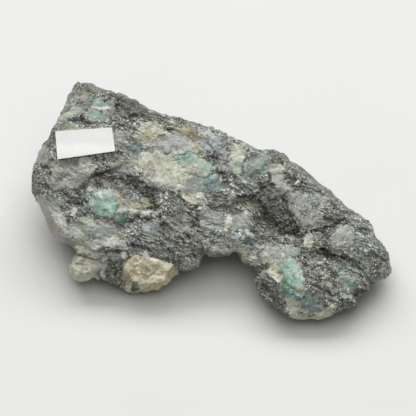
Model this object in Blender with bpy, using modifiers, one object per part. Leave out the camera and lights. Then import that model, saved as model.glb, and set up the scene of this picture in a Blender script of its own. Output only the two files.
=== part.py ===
"""Emerald in matrix: a hand specimen of silvery mica schist that holds emerald and beryl crystals.

The specimen lies on a small flat foot. Its broad broken face looks up and to the front. Each
crystal and grain is a solid of its own, set in a socket of the matrix, and a blank paper label
lies on the upper left of the face.

The pieces are modelled in the frame of the broken face: u runs to the right, v up the face and
w out of it. The empty called face_frame carries them, and leans that frame back onto the table.
Lengths in the tables below are in millimetres and are made metres when a mesh is built.
"""
import math

import bmesh
import bpy
from mathutils import Vector, noise

MM = 0.001
GAP = 0.3                       # clearance between a grain and its socket, mm

# ---- driving dimensions, mm and degrees -------------------------------------------------------
FACE_TURN = 35.0                # the face frame's turn about X, from lying flat
FACE_HEIGHT = 17.0              # the face frame's origin above the table
FACE_SLOPE = math.tan(math.radians(17.0))   # how fast the face drops away going up v
RIM_WALL = 3.5                  # height of the broken wall around the rim
RIM_DROP = 1.3                  # how far the face rolls over at the rim
RIM_ROLL = 2.6                  # width of that roll
FOOT_CENTRE = (-1.0, -4.0)      # the flat foot, an oval in u and v
FOOT_HALF = (22.0, 8.5)
FOOT_CUT = 1.3                  # how much rock the flat of the foot takes away
UNDERSIDE_RISE = 6.5            # how far the underside lifts from the table towards the rim
WALL_STEEPNESS = 2.7            # fall of the hidden walls behind the rim, at v = 0
WALL_STEEPNESS_FALL = 0.065     # how much less steep they are for each mm further up the face
WALL_STEEPNESS_LIMITS = (1.4, 4.5)
UNDERSIDE_REACH = 1.4           # share of the foot's size over which the underside lifts
SLAB = 6.0                      # the blank slab that the rock is shaped from
VOXEL = 0.85                    # size of its mesh before it is thinned
MATRIX_KEPT = 0.17              # share of the triangles kept

# ---- the matrix -------------------------------------------------------------------------------
RIM = (
    (-38.9, 32.2), (-37.0, 33.5), (-33.6, 33.2), (-31.1, 32.2), (-25.2, 30.1), (-21.0, 28.6),
    (-17.1, 25.9), (-8.7, 23.2), (-1.4, 21.3), (4.2, 19.0), (8.1, 17.4), (12.6, 15.0),
    (17.1, 14.6), (21.6, 13.0), (25.2, 9.7), (33.3, 3.2), (39.2, -2.1), (41.7, -3.6),
    (44.2, -5.6), (46.2, -9.4), (48.7, -12.3), (49.7, -14.8), (49.8, -17.4), (50.5, -19.5),
    (49.0, -21.1), (45.6, -22.0), (44.8, -23.8), (42.0, -26.2), (40.6, -26.3), (41.3, -28.0),
    (39.8, -30.0), (37.5, -29.7), (35.0, -31.6), (32.2, -32.9), (27.2, -33.0), (23.2, -32.3),
    (19.0, -30.5), (14.6, -26.6), (12.3, -22.1), (12.9, -18.8), (9.0, -16.8), (8.1, -14.4),
    (5.0, -14.7), (2.5, -15.5), (-2.2, -15.1), (-3.2, -17.4), (-6.4, -19.5), (-9.2, -18.3),
    (-14.3, -19.5), (-20.4, -20.2), (-23.2, -22.0), (-25.5, -23.4), (-27.7, -23.0), (-30.2, -21.8),
    (-31.8, -19.2), (-34.2, -17.2), (-36.4, -16.0), (-37.8, -13.7), (-40.0, -12.0), (-43.1, -11.6),
    (-45.5, -7.6), (-47.6, -2.8), (-49.6, 1.1), (-50.5, 4.2), (-49.7, 9.8), (-48.7, 14.3),
    (-45.9, 17.6), (-44.2, 20.9), (-41.2, 27.2), (-39.2, 30.8),
)

# Broken facets: beyond the anchor, in the direction given, the face falls off with this slope.
FACETS = (
    # anchor u, v      direction u, v     slope
    ((-45.0, 13.0), (-0.95, 0.30), 0.95),      # left bevel beside the label
    ((-43.6, -5.0), (-0.86, -0.50), 1.05),     # left side, low
    ((29.0, 4.4), (0.62, 0.78), 0.85),         # long bevel along the upper right rim
    ((0.0, 19.0), (0.33, 0.94), 0.70),         # upper rim
    ((46.5, -15.0), (0.95, -0.30), 0.80),      # right end
    ((29.0, -30.2), (0.15, -0.99), 0.90),      # lower edge of the lobe
)

# Pits: outline, depth, width of the wall, and, for one that runs out, the v where the depth is
# full and where it is spent.
PITS = (
    # the pocket of the left emerald, under an arched wall
    (((-40.0, 2.8), (-35.3, 6.2), (-31.9, 8.4), (-25.5, 8.7), (-21.3, 7.3), (-17.9, 5.0),
      (-14.8, 2.2), (-14.3, -3.6), (-17.1, -5.6), (-25.5, -5.6), (-32.5, -4.8), (-38.1, -2.8)),
     2.3, 1.3, (4.5, -6.0)),
    # the hollow in the middle
    (((4.8, 1.7), (10.9, 1.7), (15.4, 4.8), (18.6, 1.6), (22.1, -3.6), (25.5, -8.4),
      (27.0, -11.3), (24.9, -11.0), (13.2, -10.6), (10.9, -9.5), (11.5, -3.6), (8.1, -0.8)),
     2.2, 2.0, None),
    # the low ledge that carries the quartz knob and the feldspar lump
    (((-42.5, -13.6), (-38.1, -13.7), (-31.9, -13.7), (-24.6, -13.2), (-21.0, -12.6),
      (-17.0, -14.2), (-12.9, -16.4), (-7.6, -17.6), (-7.0, -30.0), (-43.0, -30.0)),
     3.8, 1.6, None),
)

# Grooves: line, half width and depth.
GROOVES = (
    (((14.5, 4.8), (18.0, 1.5), (20.3, -1.5), (19.6, -5.0), (23.0, -9.3), (25.6, -9.6)), 1.7, 1.9),
    (((28.6, -12.0), (31.0, -13.5), (34.7, -15.5), (39.5, -16.8), (43.1, -19.6)), 1.1, 1.6),
    (((-24.6, -4.7), (-20.0, -5.0), (-15.4, -4.4)), 1.0, 1.4),
    (((-39.5, 23.0), (-34.4, 21.9)), 0.9, 1.0),
    (((-17.8, 5.2), (-14.2, 2.8)), 0.9, 1.1),
    (((-24.9, 6.4), (-22.4, 3.4)), 0.9, 1.1),
    (((19.9, -8.0), (24.4, -9.3), (30.5, -8.6)), 1.0, 1.3),
    (((-38.2, -14.2), (-31.2, -14.8), (-25.0, -13.6), (-21.0, -12.8), (-15.0, -15.4)), 1.2, 1.6),
    (((-49.3, 1.0), (-45.4, -0.8), (-42.2, -3.8)), 0.9, 0.9),
)

# Lumps: u, v, radius and height. The two largest are the feldspar swell and the right lobe.
LUMPS = (
    (-11.5, 10.4, 9.0, 1.5), (25.8, -21.8, 9.0, 1.9), (-3.0, 12.0, 6.0, 0.7),
    (7.5, -12.0, 5.0, 0.9), (-20.0, -9.5, 6.0, 0.9), (-33.0, -8.5, 5.0, 0.8),
    (38.0, -8.0, 7.0, 0.9), (43.5, -13.5, 4.0, 0.7), (26.5, 4.0, 7.0, 0.8),
    (-31.0, 27.0, 6.0, 0.6), (-18.5, 20.0, 6.0, 0.8), (7.0, 12.0, 5.0, 0.6),
    (-1.0, -8.5, 7.0, 0.7), (36.5, -27.0, 5.0, 0.9),
)

# Chips: fields of small tilted planes, as cell size, step between cells, tilt and seed.
FACE_CHIPS = ((6.5, 0.7, 0.15, 3.5), (3.0, 0.35, 0.15, 8.5))
BACK_CHIPS = ((11.0, 2.2, 0.30, 14.5), (4.5, 0.6, 0.22, 21.5))
RIM_CHIPS = 0.45                # share of the face's chips that is left at the rim
TILT_SPREAD = 37.0              # these spread the cells' centres, so that no two chips are alike
LEVEL_SPREAD = 53.0
BACK_BLEND = 5.0                # depth behind the face over which one field gives way to the other

# ---- the label --------------------------------------------------------------------------------
LABEL_CORNERS = ((-43.8, 19.9), (-27.9, 21.0), (-26.9, 14.3), (-43.1, 12.0))
LABEL_THICKNESS = 0.35
LABEL_HEIGHT = 0.55             # seat of the label above the plain face
SEAT_MARGIN = 0.5               # flat border around the label
SEAT_BLEND = 1.6                # width over which the flat seat joins the rough face

# ---- crystals and grains ----------------------------------------------------------------------
# Each is a convex block: its outline on the face, how far its top stands proud of the face, how
# deep it goes, the lean of its top in u and v, the chamfer around the top, and its colour and
# roughness.
GRAINS = {
    "emerald_left": (
        ((-33.3, 2.0), (-30.2, 3.6), (-26.6, 2.2), (-25.9, -0.8), (-27.7, -3.9), (-31.4, -3.8),
         (-33.7, -1.1)), 1.5, 6.0, (0.10, -0.05), 0.8, (0.16, 0.55, 0.42), 0.25),
    "emerald_left_small": (
        ((-26.9, -4.9), (-25.4, -2.2), (-24.3, -2.6), (-24.6, -4.9), (-25.6, -5.9)),
        1.0, 4.0, (-0.10, 0.0), 0.4, (0.10, 0.40, 0.30), 0.3),
    "emerald_centre": (
        ((-8.2, 13.2), (-5.9, 14.4), (-3.4, 13.2), (-0.2, 10.9), (0.5, 8.7), (-1.7, 7.5),
         (-5.0, 8.2), (-8.5, 10.8)), 1.1, 5.0, (0.05, 0.10), 0.6, (0.22, 0.55, 0.42), 0.3),
    "beryl_centre": (
        ((-7.8, 6.3), (-4.2, 7.0), (1.7, 6.8), (2.3, 5.2), (-0.2, 3.4), (-5.3, 2.8), (-7.8, 4.2)),
        0.8, 4.5, (-0.08, 0.04), 0.5, (0.30, 0.43, 0.42), 0.35),
    "beryl_pale": (
        ((5.2, 15.0), (7.0, 15.8), (8.7, 14.6), (9.0, 10.1), (8.1, 8.1), (6.4, 8.6), (5.4, 11.8)),
        0.9, 5.0, (0.08, -0.06), 0.5, (0.52, 0.58, 0.46), 0.35),
    "emerald_top": (
        ((-34.4, 25.2), (-32.8, 29.6), (-30.2, 30.2), (-27.7, 28.6), (-27.4, 25.8), (-30.5, 23.3),
         (-33.6, 23.2)), 0.9, 5.5, (0.06, 0.06), 0.6, (0.20, 0.42, 0.36), 0.3),
    "emerald_lobe": (
        ((19.3, -16.8), (22.1, -15.8), (24.6, -18.2), (25.9, -22.4), (24.9, -24.4),
         (22.7, -23.8), (19.9, -20.4)), 1.3, 6.0, (0.14, 0.04), 0.7, (0.16, 0.52, 0.40), 0.25),
    "beryl_bluish": (
        ((24.9, -27.0), (27.2, -25.9), (30.0, -26.3), (31.1, -28.4), (29.4, -30.2),
         (26.4, -30.5), (24.8, -29.2)), 0.9, 4.5, (0.05, -0.08), 0.6, (0.40, 0.52, 0.52), 0.3),
    "emerald_small": (
        ((37.0, -21.8), (38.9, -20.9), (40.3, -22.1), (40.0, -24.2), (38.4, -25.0),
         (37.0, -24.2)), 0.9, 2.8, (-0.10, 0.08), 0.4, (0.10, 0.36, 0.27), 0.3),
    "beryl_lens": (
        ((13.6, -14.3), (15.4, -12.7), (19.3, -11.6), (23.2, -11.8), (25.2, -13.2),
         (23.8, -15.2), (19.6, -15.9), (15.1, -15.7)), 0.9, 4.5, (0.02, 0.12), 0.6,
        (0.30, 0.38, 0.32), 0.4),
    "beryl_grain": (
        ((34.2, -9.5), (35.6, -7.1), (38.4, -6.7), (40.0, -8.7), (39.2, -11.5), (37.0, -12.7),
         (34.7, -11.8)), 0.9, 4.5, (-0.06, -0.06), 0.7, (0.50, 0.55, 0.48), 0.4),
    "quartz_block": (
        ((21.8, 1.7), (24.9, 2.9), (31.1, 1.1), (32.2, -1.1), (30.0, -4.2), (27.7, -7.0),
         (25.4, -7.2), (23.2, -3.1)), 1.2, 6.0, (0.08, 0.10), 0.8, (0.42, 0.44, 0.41), 0.35),
    "feldspar_patch": (
        ((-19.8, 12.6), (-16.0, 14.2), (-11.4, 13.2), (-9.2, 9.0), (-9.3, 5.8), (-12.4, 4.6),
         (-16.8, 6.2), (-19.6, 9.4)), 0.9, 5.0, (-0.08, 0.06), 0.8, (0.58, 0.58, 0.46), 0.45),
    "quartz_knob": (
        ((-40.3, -18.8), (-39.8, -16.0), (-37.2, -14.4), (-33.3, -14.5), (-30.8, -15.8),
         (-30.6, -19.0), (-32.5, -21.3), (-36.4, -22.4), (-39.2, -21.6)), 2.6, 7.5,
        (-0.10, 0.22), 1.8, (0.52, 0.53, 0.40), 0.35),
    "feldspar_lump": (
        ((-23.5, -15.9), (-21.0, -13.9), (-16.5, -15.2), (-12.0, -16.9), (-8.4, -18.7),
         (-9.0, -20.2), (-12.3, -23.0), (-14.8, -24.6), (-18.5, -25.4), (-21.6, -26.0),
         (-24.7, -24.4), (-25.0, -21.0)), 3.2, 6.8, (0.05, 0.20), 1.6, (0.62, 0.58, 0.44), 0.5),
}
SOCKET_TAPER = 0.16             # how much narrower a block gets towards its root
SOCKET_HEADROOM = 6.0           # a socket is cut open this far above its block

CHAMFER_SLOPE = 0.9             # how steeply the chamfers around a top stand
WHOLE_BLOCK = 80.0              # the cube that each block is cut from
TABLE_BLOCK = 200.0             # the cube below the table

ROCK_COLOUR = (0.13, 0.13, 0.125)
PAPER_COLOUR = (0.85, 0.85, 0.84)


# ---- helpers ----------------------------------------------------------------------------------
def clear_scene():
    """Remove every object that the file opened with."""
    for thing in list(bpy.data.objects):
        bpy.data.objects.remove(thing, do_unlink=True)


def make_collection(name):
    """A new collection under the scene."""
    collection = bpy.data.collections.new(name)
    bpy.context.scene.collection.children.link(collection)
    return collection


def make_material(name, colour, roughness):
    """A plain Principled material."""
    material = bpy.data.materials.new(name)
    material.use_nodes = True
    shader = material.node_tree.nodes["Principled BSDF"]
    shader.inputs["Base Color"].default_value = (*colour, 1.0)
    shader.inputs["Roughness"].default_value = roughness
    shader.inputs["Metallic"].default_value = 0.0
    return material


def add_object(name, mesh, collection, parent):
    """Put a mesh in a collection, carried by the face frame."""
    thing = bpy.data.objects.new(name, mesh)
    thing.parent = parent
    collection.objects.link(thing)
    return thing


def ease(value):
    """Smooth step from 0 to 1."""
    value = min(max(value, 0.0), 1.0)
    return value * value * (3.0 - 2.0 * value)


def line_distance(u, v, points):
    """Distance from a point of the face to an open line."""
    best = math.inf
    for (u0, v0), (u1, v1) in zip(points, points[1:]):
        du = u1 - u0
        dv = v1 - v0
        along = ((u - u0) * du + (v - v0) * dv) / (du * du + dv * dv)
        along = min(max(along, 0.0), 1.0)
        best = min(best, math.hypot(u - u0 - along * du, v - v0 - along * dv))
    return best


def inside_distance(u, v, outline):
    """Distance to a closed outline, positive inside it."""
    inside = False
    previous = outline[-1]
    for point in outline:
        if (point[1] > v) != (previous[1] > v):
            crossing = point[0] + (v - point[1]) * (previous[0] - point[0]) / (previous[1] - point[1])
            inside = inside != (u < crossing)
        previous = point
    distance = line_distance(u, v, (*outline, outline[0]))
    return distance if inside else -distance


def chips(place, fields):
    """Height of fields of flat chips: each cell of rock ends in a plane of its own."""
    height = 0.0
    for cell, step, tilt, seed in fields:
        spot = place / cell + Vector((seed, seed, seed))
        centre = noise.voronoi(spot)[1][0]
        turn = noise.cell_vector(centre * TILT_SPREAD) - Vector((0.5, 0.5, 0.5))
        level = noise.cell(centre * LEVEL_SPREAD) / 2.0
        height += step * level + 2.0 * tilt * cell * turn.dot(spot - centre)
    return height


# ---- the shape of the face and the underside --------------------------------------------------
def plain_face(u, v):
    """The leaning face with its broken facets, before any relief."""
    height = -FACE_SLOPE * v
    for anchor, direction, slope in FACETS:
        beyond = (u - anchor[0]) * direction[0] + (v - anchor[1]) * direction[1]
        height -= slope * max(beyond, 0.0)
    return height


def label_seat(u, v):
    """Height of the flat seat of the label."""
    return LABEL_HEIGHT - FACE_SLOPE * v


def broad_face(u, v):
    """The face with its pits, grooves and lumps."""
    height = plain_face(u, v) - RIM_DROP * ease(1.0 - inside_distance(u, v, RIM) / RIM_ROLL)
    for outline, depth, wall, fade in PITS:
        inside = inside_distance(u, v, outline)
        if inside > 0.0:
            share = ease((v - fade[1]) / (fade[0] - fade[1])) if fade else 1.0
            height -= depth * share * ease(inside / wall)
    for points, half_width, depth in GROOVES:
        height -= depth * ease(1.0 - line_distance(u, v, points) / half_width)
    for lump_u, lump_v, radius, lump_height in LUMPS:
        height += lump_height * ease(1.0 - math.hypot(u - lump_u, v - lump_v) / radius)
    return height


def seat_share(u, v):
    """1 on the flat seat of the label, 0 away from it."""
    return ease((inside_distance(u, v, LABEL_CORNERS) + SEAT_MARGIN + SEAT_BLEND) / SEAT_BLEND)


def face_height(u, v):
    """The front surface of the matrix before it is chipped."""
    height = broad_face(u, v)
    return height + (label_seat(u, v) - height) * seat_share(u, v)


def table_height(v):
    """Where the column of rock behind a point of the face meets the table."""
    turn = math.radians(FACE_TURN)
    return -(FACE_HEIGHT + v * math.sin(turn)) / math.cos(turn)


def back_height(u, v, front, rim_distance):
    """The hidden side: steep walls behind the rim and a gently lifted underside."""
    least, most = WALL_STEEPNESS_LIMITS
    steepness = min(max(WALL_STEEPNESS - WALL_STEEPNESS_FALL * v, least), most)
    wall = front - RIM_WALL - steepness * max(rim_distance, 0.0)
    reach = math.hypot((u - FOOT_CENTRE[0]) / FOOT_HALF[0], (v - FOOT_CENTRE[1]) / FOOT_HALF[1])
    under = table_height(v) - FOOT_CUT + UNDERSIDE_RISE * ease((reach - 1.0) / UNDERSIDE_REACH)
    return max(wall, under)


# ---- building ---------------------------------------------------------------------------------
def rock_blank(collection):
    """A slab with the outline of the rim, as an evenly meshed solid."""
    curve = bpy.data.curves.new("matrix_rim", "CURVE")
    curve.dimensions = "2D"
    curve.fill_mode = "BOTH"
    curve.extrude = SLAB * MM / 2.0
    spline = curve.splines.new("POLY")
    spline.points.add(len(RIM) - 1)
    for point, (u, v) in zip(spline.points, RIM):
        point.co = (u * MM, v * MM, 0.0, 1.0)
    spline.use_cyclic_u = True
    outline = bpy.data.objects.new("matrix_rim", curve)
    collection.objects.link(outline)
    slab = bpy.data.meshes.new_from_object(
        outline.evaluated_get(bpy.context.evaluated_depsgraph_get()))
    bpy.data.objects.remove(outline, do_unlink=True)

    welded = bmesh.new()
    welded.from_mesh(slab)
    bmesh.ops.remove_doubles(welded, verts=welded.verts, dist=0.01 * MM)
    bmesh.ops.recalc_face_normals(welded, faces=welded.faces)
    welded.to_mesh(slab)
    welded.free()

    return even_mesh(slab, collection)


def even_mesh(mesh, collection):
    """The same solid with a mesh of one size all over."""
    rough = bpy.data.objects.new("rough_rock", mesh)
    collection.objects.link(rough)
    remesh = rough.modifiers.new("even mesh", "REMESH")
    remesh.mode = "VOXEL"
    remesh.voxel_size = VOXEL * MM
    even = bpy.data.meshes.new_from_object(
        rough.evaluated_get(bpy.context.evaluated_depsgraph_get()))
    bpy.data.objects.remove(rough, do_unlink=True)
    return even


def shape_rock(mesh):
    """Move the blank's points to the face and the underside."""
    for vertex in mesh.vertices:
        u = vertex.co.x / MM
        v = vertex.co.y / MM
        depth = min(max(0.5 - vertex.co.z / (SLAB * MM), 0.0), 1.0)
        rim_distance = inside_distance(u, v, RIM)
        front = face_height(u, v)
        back = back_height(u, v, front, rim_distance)
        vertex.co = Vector((u, v, front + (back - front) * depth)) * MM


def chip_rock(mesh):
    """Break the smooth rock into flat chips, finer on the face than behind it."""
    outward = [vertex.normal.copy() for vertex in mesh.vertices]
    for vertex, normal in zip(mesh.vertices, outward):
        place = vertex.co / MM
        buried = ease((face_height(place.x, place.y) - place.z - BACK_BLEND) / BACK_BLEND)
        inner = ease(inside_distance(place.x, place.y, RIM) / RIM_ROLL)
        share = RIM_CHIPS + (1.0 - RIM_CHIPS) * inner - seat_share(place.x, place.y)
        height = chips(place, FACE_CHIPS) * max(share, 0.0) * (1.0 - buried)
        height += chips(place, BACK_CHIPS) * buried
        vertex.co = (place + normal * height) * MM


def table_cutter(collection):
    """A block below the table, which leaves the flat foot."""
    block = bmesh.new()
    bmesh.ops.create_cube(block, size=TABLE_BLOCK * MM)
    bmesh.ops.translate(block, vec=(0.0, 0.0, -TABLE_BLOCK * MM / 2.0), verts=block.verts)
    mesh = bpy.data.meshes.new("table_cutter")
    block.to_mesh(mesh)
    block.free()
    cutter = bpy.data.objects.new("table_cutter", mesh)
    collection.objects.link(cutter)
    hide_guide(cutter)
    return cutter


def hide_guide(thing):
    """Show a cutter as wires only."""
    thing.hide_render = True
    thing.display_type = "WIRE"


def cut(thing, cutter):
    """Take the cutter's volume away from a piece."""
    boolean = thing.modifiers.new("cut " + cutter.name, "BOOLEAN")
    boolean.operation = "DIFFERENCE"
    boolean.solver = "EXACT"
    boolean.object = cutter


def block_from_planes(name, centre, planes, grow):
    """A convex block: a cube cut back by planes, each moved out by grow."""
    block = bmesh.new()
    bmesh.ops.create_cube(block, size=WHOLE_BLOCK)
    bmesh.ops.translate(block, vec=centre, verts=block.verts)
    for point, normal in planes:
        outward = Vector(normal).normalized()
        geometry = block.verts[:] + block.edges[:] + block.faces[:]
        bmesh.ops.bisect_plane(block, geom=geometry, dist=1e-5, clear_outer=True,
                               plane_co=Vector(point) + outward * grow, plane_no=outward)
        open_edges = [edge for edge in block.edges if edge.is_boundary]
        bmesh.ops.holes_fill(block, edges=open_edges)
    bmesh.ops.scale(block, vec=(MM, MM, MM), verts=block.verts)
    bmesh.ops.recalc_face_normals(block, faces=block.faces)
    mesh = bpy.data.meshes.new(name)
    block.to_mesh(mesh)
    block.free()
    return mesh


def outline_sides(outline):
    """Middle and outward direction of each side of a clockwise outline."""
    for (u0, v0), (u1, v1) in zip(outline, (*outline[1:], outline[0])):
        length = math.hypot(u1 - u0, v1 - v0)
        yield (u0 + u1) / 2.0, (v0 + v1) / 2.0, (v0 - v1) / length, (u1 - u0) / length


def grain_planes(outline, proud, root, lean, chamfer):
    """The planes of a crystal or grain: its tapering body, then its leaning top and chamfers."""
    centre_u = sum(point[0] for point in outline) / len(outline)
    centre_v = sum(point[1] for point in outline) / len(outline)
    top = broad_face(centre_u, centre_v) + proud
    slope_u = lean[0]
    slope_v = lean[1] - FACE_SLOPE
    body = [((centre_u, centre_v, top - root), (0.0, 0.0, -1.0))]
    crown = [((centre_u, centre_v, top), (-slope_u, -slope_v, 1.0))]
    for u, v, out_u, out_v in outline_sides(outline):
        edge = top + slope_u * (u - centre_u) + slope_v * (v - centre_v)
        body.append(((u, v, edge - chamfer), (out_u, out_v, -SOCKET_TAPER)))
        crown.append(((u, v, edge - chamfer), (out_u, out_v, CHAMFER_SLOPE)))
    return (centre_u, centre_v, top), body, crown


def label_planes():
    """The planes of the flat paper label."""
    centre_u = sum(corner[0] for corner in LABEL_CORNERS) / len(LABEL_CORNERS)
    centre_v = sum(corner[1] for corner in LABEL_CORNERS) / len(LABEL_CORNERS)
    under = label_seat(centre_u, centre_v) + GAP
    planes = [((centre_u, centre_v, under), (0.0, -FACE_SLOPE, -1.0)),
              ((centre_u, centre_v, under + LABEL_THICKNESS), (0.0, FACE_SLOPE, 1.0))]
    for u, v, out_u, out_v in outline_sides(LABEL_CORNERS):
        planes.append(((u, v, under), (out_u, out_v, 0.0)))
    return (centre_u, centre_v, under), planes


def centre_over_origin(frame, pieces):
    """Slide the frame so that the origin lies on the table under the middle of the box."""
    bpy.context.view_layer.update()
    graph = bpy.context.evaluated_depsgraph_get()
    corners = []
    for piece in pieces:
        solid = piece.evaluated_get(graph)
        corners += [solid.matrix_world @ vertex.co for vertex in solid.data.vertices]
    frame.location.x -= (min(c.x for c in corners) + max(c.x for c in corners)) / 2.0
    frame.location.y -= (min(c.y for c in corners) + max(c.y for c in corners)) / 2.0
    bpy.context.view_layer.update()


def main():
    """Build the specimen."""
    clear_scene()
    pieces = make_collection("emerald_in_matrix")
    cutters = make_collection("cutters")
    frame = bpy.data.objects.new("face_frame", None)
    frame.location = (0.0, 0.0, FACE_HEIGHT * MM)
    frame.rotation_euler = (math.radians(FACE_TURN), 0.0, 0.0)
    pieces.objects.link(frame)

    blank = rock_blank(cutters)
    shape_rock(blank)
    rock = even_mesh(blank, cutters)
    chip_rock(rock)
    matrix = add_object("matrix", rock, pieces, frame)
    rock.materials.clear()
    rock.materials.append(make_material("mica_schist", ROCK_COLOUR, 0.45))
    thin = matrix.modifiers.new("thin the mesh", "DECIMATE")
    thin.ratio = MATRIX_KEPT
    cut(matrix, table_cutter(cutters))

    built = [matrix]
    for name, (outline, proud, root, lean, chamfer, colour, roughness) in GRAINS.items():
        centre, body, crown = grain_planes(outline, proud, root, lean, chamfer)
        grain = add_object(name, block_from_planes(name, centre, body + crown, 0.0), pieces, frame)
        grain.data.materials.append(make_material(name + "_stone", colour, roughness))
        lid = ((centre[0], centre[1], centre[2] + SOCKET_HEADROOM), (0.0, 0.0, 1.0))
        socket = add_object(name + "_socket",
                            block_from_planes(name + "_socket", centre, [*body, lid], GAP),
                            cutters, frame)
        hide_guide(socket)
        cut(matrix, socket)
        built.append(grain)

    centre, planes = label_planes()
    label = add_object("paper_label", block_from_planes("paper_label", centre, planes, 0.0),
                       pieces, frame)
    label.data.materials.append(make_material("label_paper", PAPER_COLOUR, 0.7))
    built.append(label)
    centre_over_origin(frame, built)


main()
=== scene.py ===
# %% [markdown]
# # Emerald in matrix
# A rough hand specimen: silvery mica schist that holds emerald and beryl crystals, quartz and
# feldspar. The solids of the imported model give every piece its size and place. This script gives
# them their broken surfaces, their minerals and their light, from top to bottom, a cell at a time.

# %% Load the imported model
import math

import bpy
import numpy as np
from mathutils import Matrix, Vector, noise
from mathutils.kdtree import KDTree


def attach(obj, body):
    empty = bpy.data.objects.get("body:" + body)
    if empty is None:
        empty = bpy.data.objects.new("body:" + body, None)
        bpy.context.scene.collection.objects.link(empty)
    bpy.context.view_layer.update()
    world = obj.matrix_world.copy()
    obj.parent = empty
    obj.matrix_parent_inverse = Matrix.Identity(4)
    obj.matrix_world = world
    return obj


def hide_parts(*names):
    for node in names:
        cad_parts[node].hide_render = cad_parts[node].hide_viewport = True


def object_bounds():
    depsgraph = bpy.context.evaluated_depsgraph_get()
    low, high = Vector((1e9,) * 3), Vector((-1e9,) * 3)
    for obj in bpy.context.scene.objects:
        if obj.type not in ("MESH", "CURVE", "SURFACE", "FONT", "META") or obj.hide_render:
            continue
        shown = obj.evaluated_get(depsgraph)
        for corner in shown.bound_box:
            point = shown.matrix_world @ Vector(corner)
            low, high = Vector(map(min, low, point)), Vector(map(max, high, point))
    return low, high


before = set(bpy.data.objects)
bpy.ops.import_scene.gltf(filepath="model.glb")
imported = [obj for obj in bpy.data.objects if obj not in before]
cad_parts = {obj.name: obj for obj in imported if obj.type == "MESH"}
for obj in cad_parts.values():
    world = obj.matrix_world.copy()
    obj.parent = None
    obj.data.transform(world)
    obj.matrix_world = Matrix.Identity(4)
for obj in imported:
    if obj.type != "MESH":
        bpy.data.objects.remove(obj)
cad_low, cad_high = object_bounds()
print("packed model", [round(1000 * (high - low), 1) for low, high in zip(cad_low, cad_high)], "mm")

# %% [markdown]
# ## The frame of the broken face
# The specimen's broad face leans towards the front. World x, y and z would be awkward there, so
# everything on it is placed in a frame of its own: u to the right, v up the face and w out of it.
# The minerals are drawn on a map of small squares over that face. They are counted to the right
# and down, so a place on the map is a column and a row.

# %% The face frame and its map
MM = 0.001
FACE_ORIGIN = np.array([-0.00012, -0.00305, 0.017])
FACE_TURN = math.radians(35.0)
FACE_AXES = np.array([
    [1.0, 0.0, 0.0],
    [0.0, math.cos(FACE_TURN), math.sin(FACE_TURN)],
    [0.0, -math.sin(FACE_TURN), math.cos(FACE_TURN)],
])
MAP_SQUARE = 0.28               # mm
MAP_ORIGIN = (211.0, 202.0)     # the square on the frame's origin


def to_face(places):
    """World places, in metres, as u, v and w in millimetres."""
    return (np.asarray(places) - FACE_ORIGIN) @ FACE_AXES.T / MM


def to_world(places):
    """Places in the face frame, in millimetres, as world places in metres."""
    return np.asarray(places) @ FACE_AXES * MM + FACE_ORIGIN


def on_map(column, row):
    """u and v of a place on the map."""
    return (column - MAP_ORIGIN[0]) * MAP_SQUARE, (MAP_ORIGIN[1] - row) * MAP_SQUARE


print("map square", MAP_SQUARE, "mm, face leans", round(math.degrees(FACE_TURN)), "degrees")

# %% [markdown]
# ## Working with a piece
# Broken stone has fine relief on every side, and the solids have few and long triangles. They
# could be subdivided, but the new faces would be as uneven as the old ones. A voxel remesh gives
# an even skin instead, which takes relief well everywhere. A node's mesh comes as loose
# triangles, so a copy of it is merged first.

# %% Copy, merge and remesh


def pick(piece):
    """Select one object alone and make it active."""
    bpy.ops.object.select_all(action="DESELECT")
    piece.select_set(True)
    bpy.context.view_layer.objects.active = piece


def copy_node(node, name):
    """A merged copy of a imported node, as a piece of its own."""
    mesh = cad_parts[node].data.copy()
    mesh.materials.clear()
    piece = bpy.data.objects.new(name, mesh)
    bpy.context.scene.collection.objects.link(piece)
    pick(piece)
    bpy.ops.object.mode_set(mode="EDIT")
    bpy.ops.mesh.select_all(action="SELECT")
    bpy.ops.mesh.remove_doubles(threshold=0.002 * MM)
    bpy.ops.object.mode_set(mode="OBJECT")
    return piece


def remesh(piece, voxel):
    """Give a closed piece an even skin of squares of this size, in millimetres."""
    pick(piece)
    skin = piece.modifiers.new("even skin", "REMESH")
    skin.mode = "VOXEL"
    skin.voxel_size = voxel * MM
    bpy.ops.object.modifier_apply(modifier=skin.name)


def points_of(mesh):
    """The places of a mesh's points, as an array."""
    flat = np.empty(len(mesh.vertices) * 3)
    mesh.vertices.foreach_get("co", flat)
    return flat.reshape(-1, 3)


def normals_of(mesh):
    """The normals at a mesh's points, as an array."""
    flat = np.empty(len(mesh.vertices) * 3)
    mesh.vertex_normals.foreach_get("vector", flat)
    return flat.reshape(-1, 3)


def move_points(mesh, places):
    """Put a mesh's points at these places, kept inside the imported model's box."""
    low = np.array(cad_low) + 0.02 * MM
    high = np.array(cad_high) - 0.02 * MM
    low[2] = cad_low[2]
    mesh.vertices.foreach_set("co", np.clip(places, low, high).ravel())
    mesh.update()


def keep_colours(mesh, name, colours):
    """Store a colour at every point."""
    layer = mesh.attributes.new(name, "FLOAT_COLOR", "POINT")
    layer.data.foreach_set("color", np.hstack([colours, np.ones((len(colours), 1))]).ravel())


def keep_values(mesh, name, values):
    """Store a number at every point."""
    layer = mesh.attributes.new(name, "FLOAT", "POINT")
    layer.data.foreach_set("value", np.asarray(values, dtype=float))


print(len(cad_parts), "nodes to dress")

# %% [markdown]
# ## Noise fields
# Broken rock is made of small planes, not of soft bumps. Smooth noise alone would look melted. A
# cell field gives each grain its own level and tilt, and smooth noise only bends it, so that no
# line runs straight.

# %% Smooth fields


def ease(values):
    """Smooth step from 0 to 1."""
    values = np.clip(values, 0.0, 1.0)
    return values * values * (3.0 - 2.0 * values)


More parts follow.
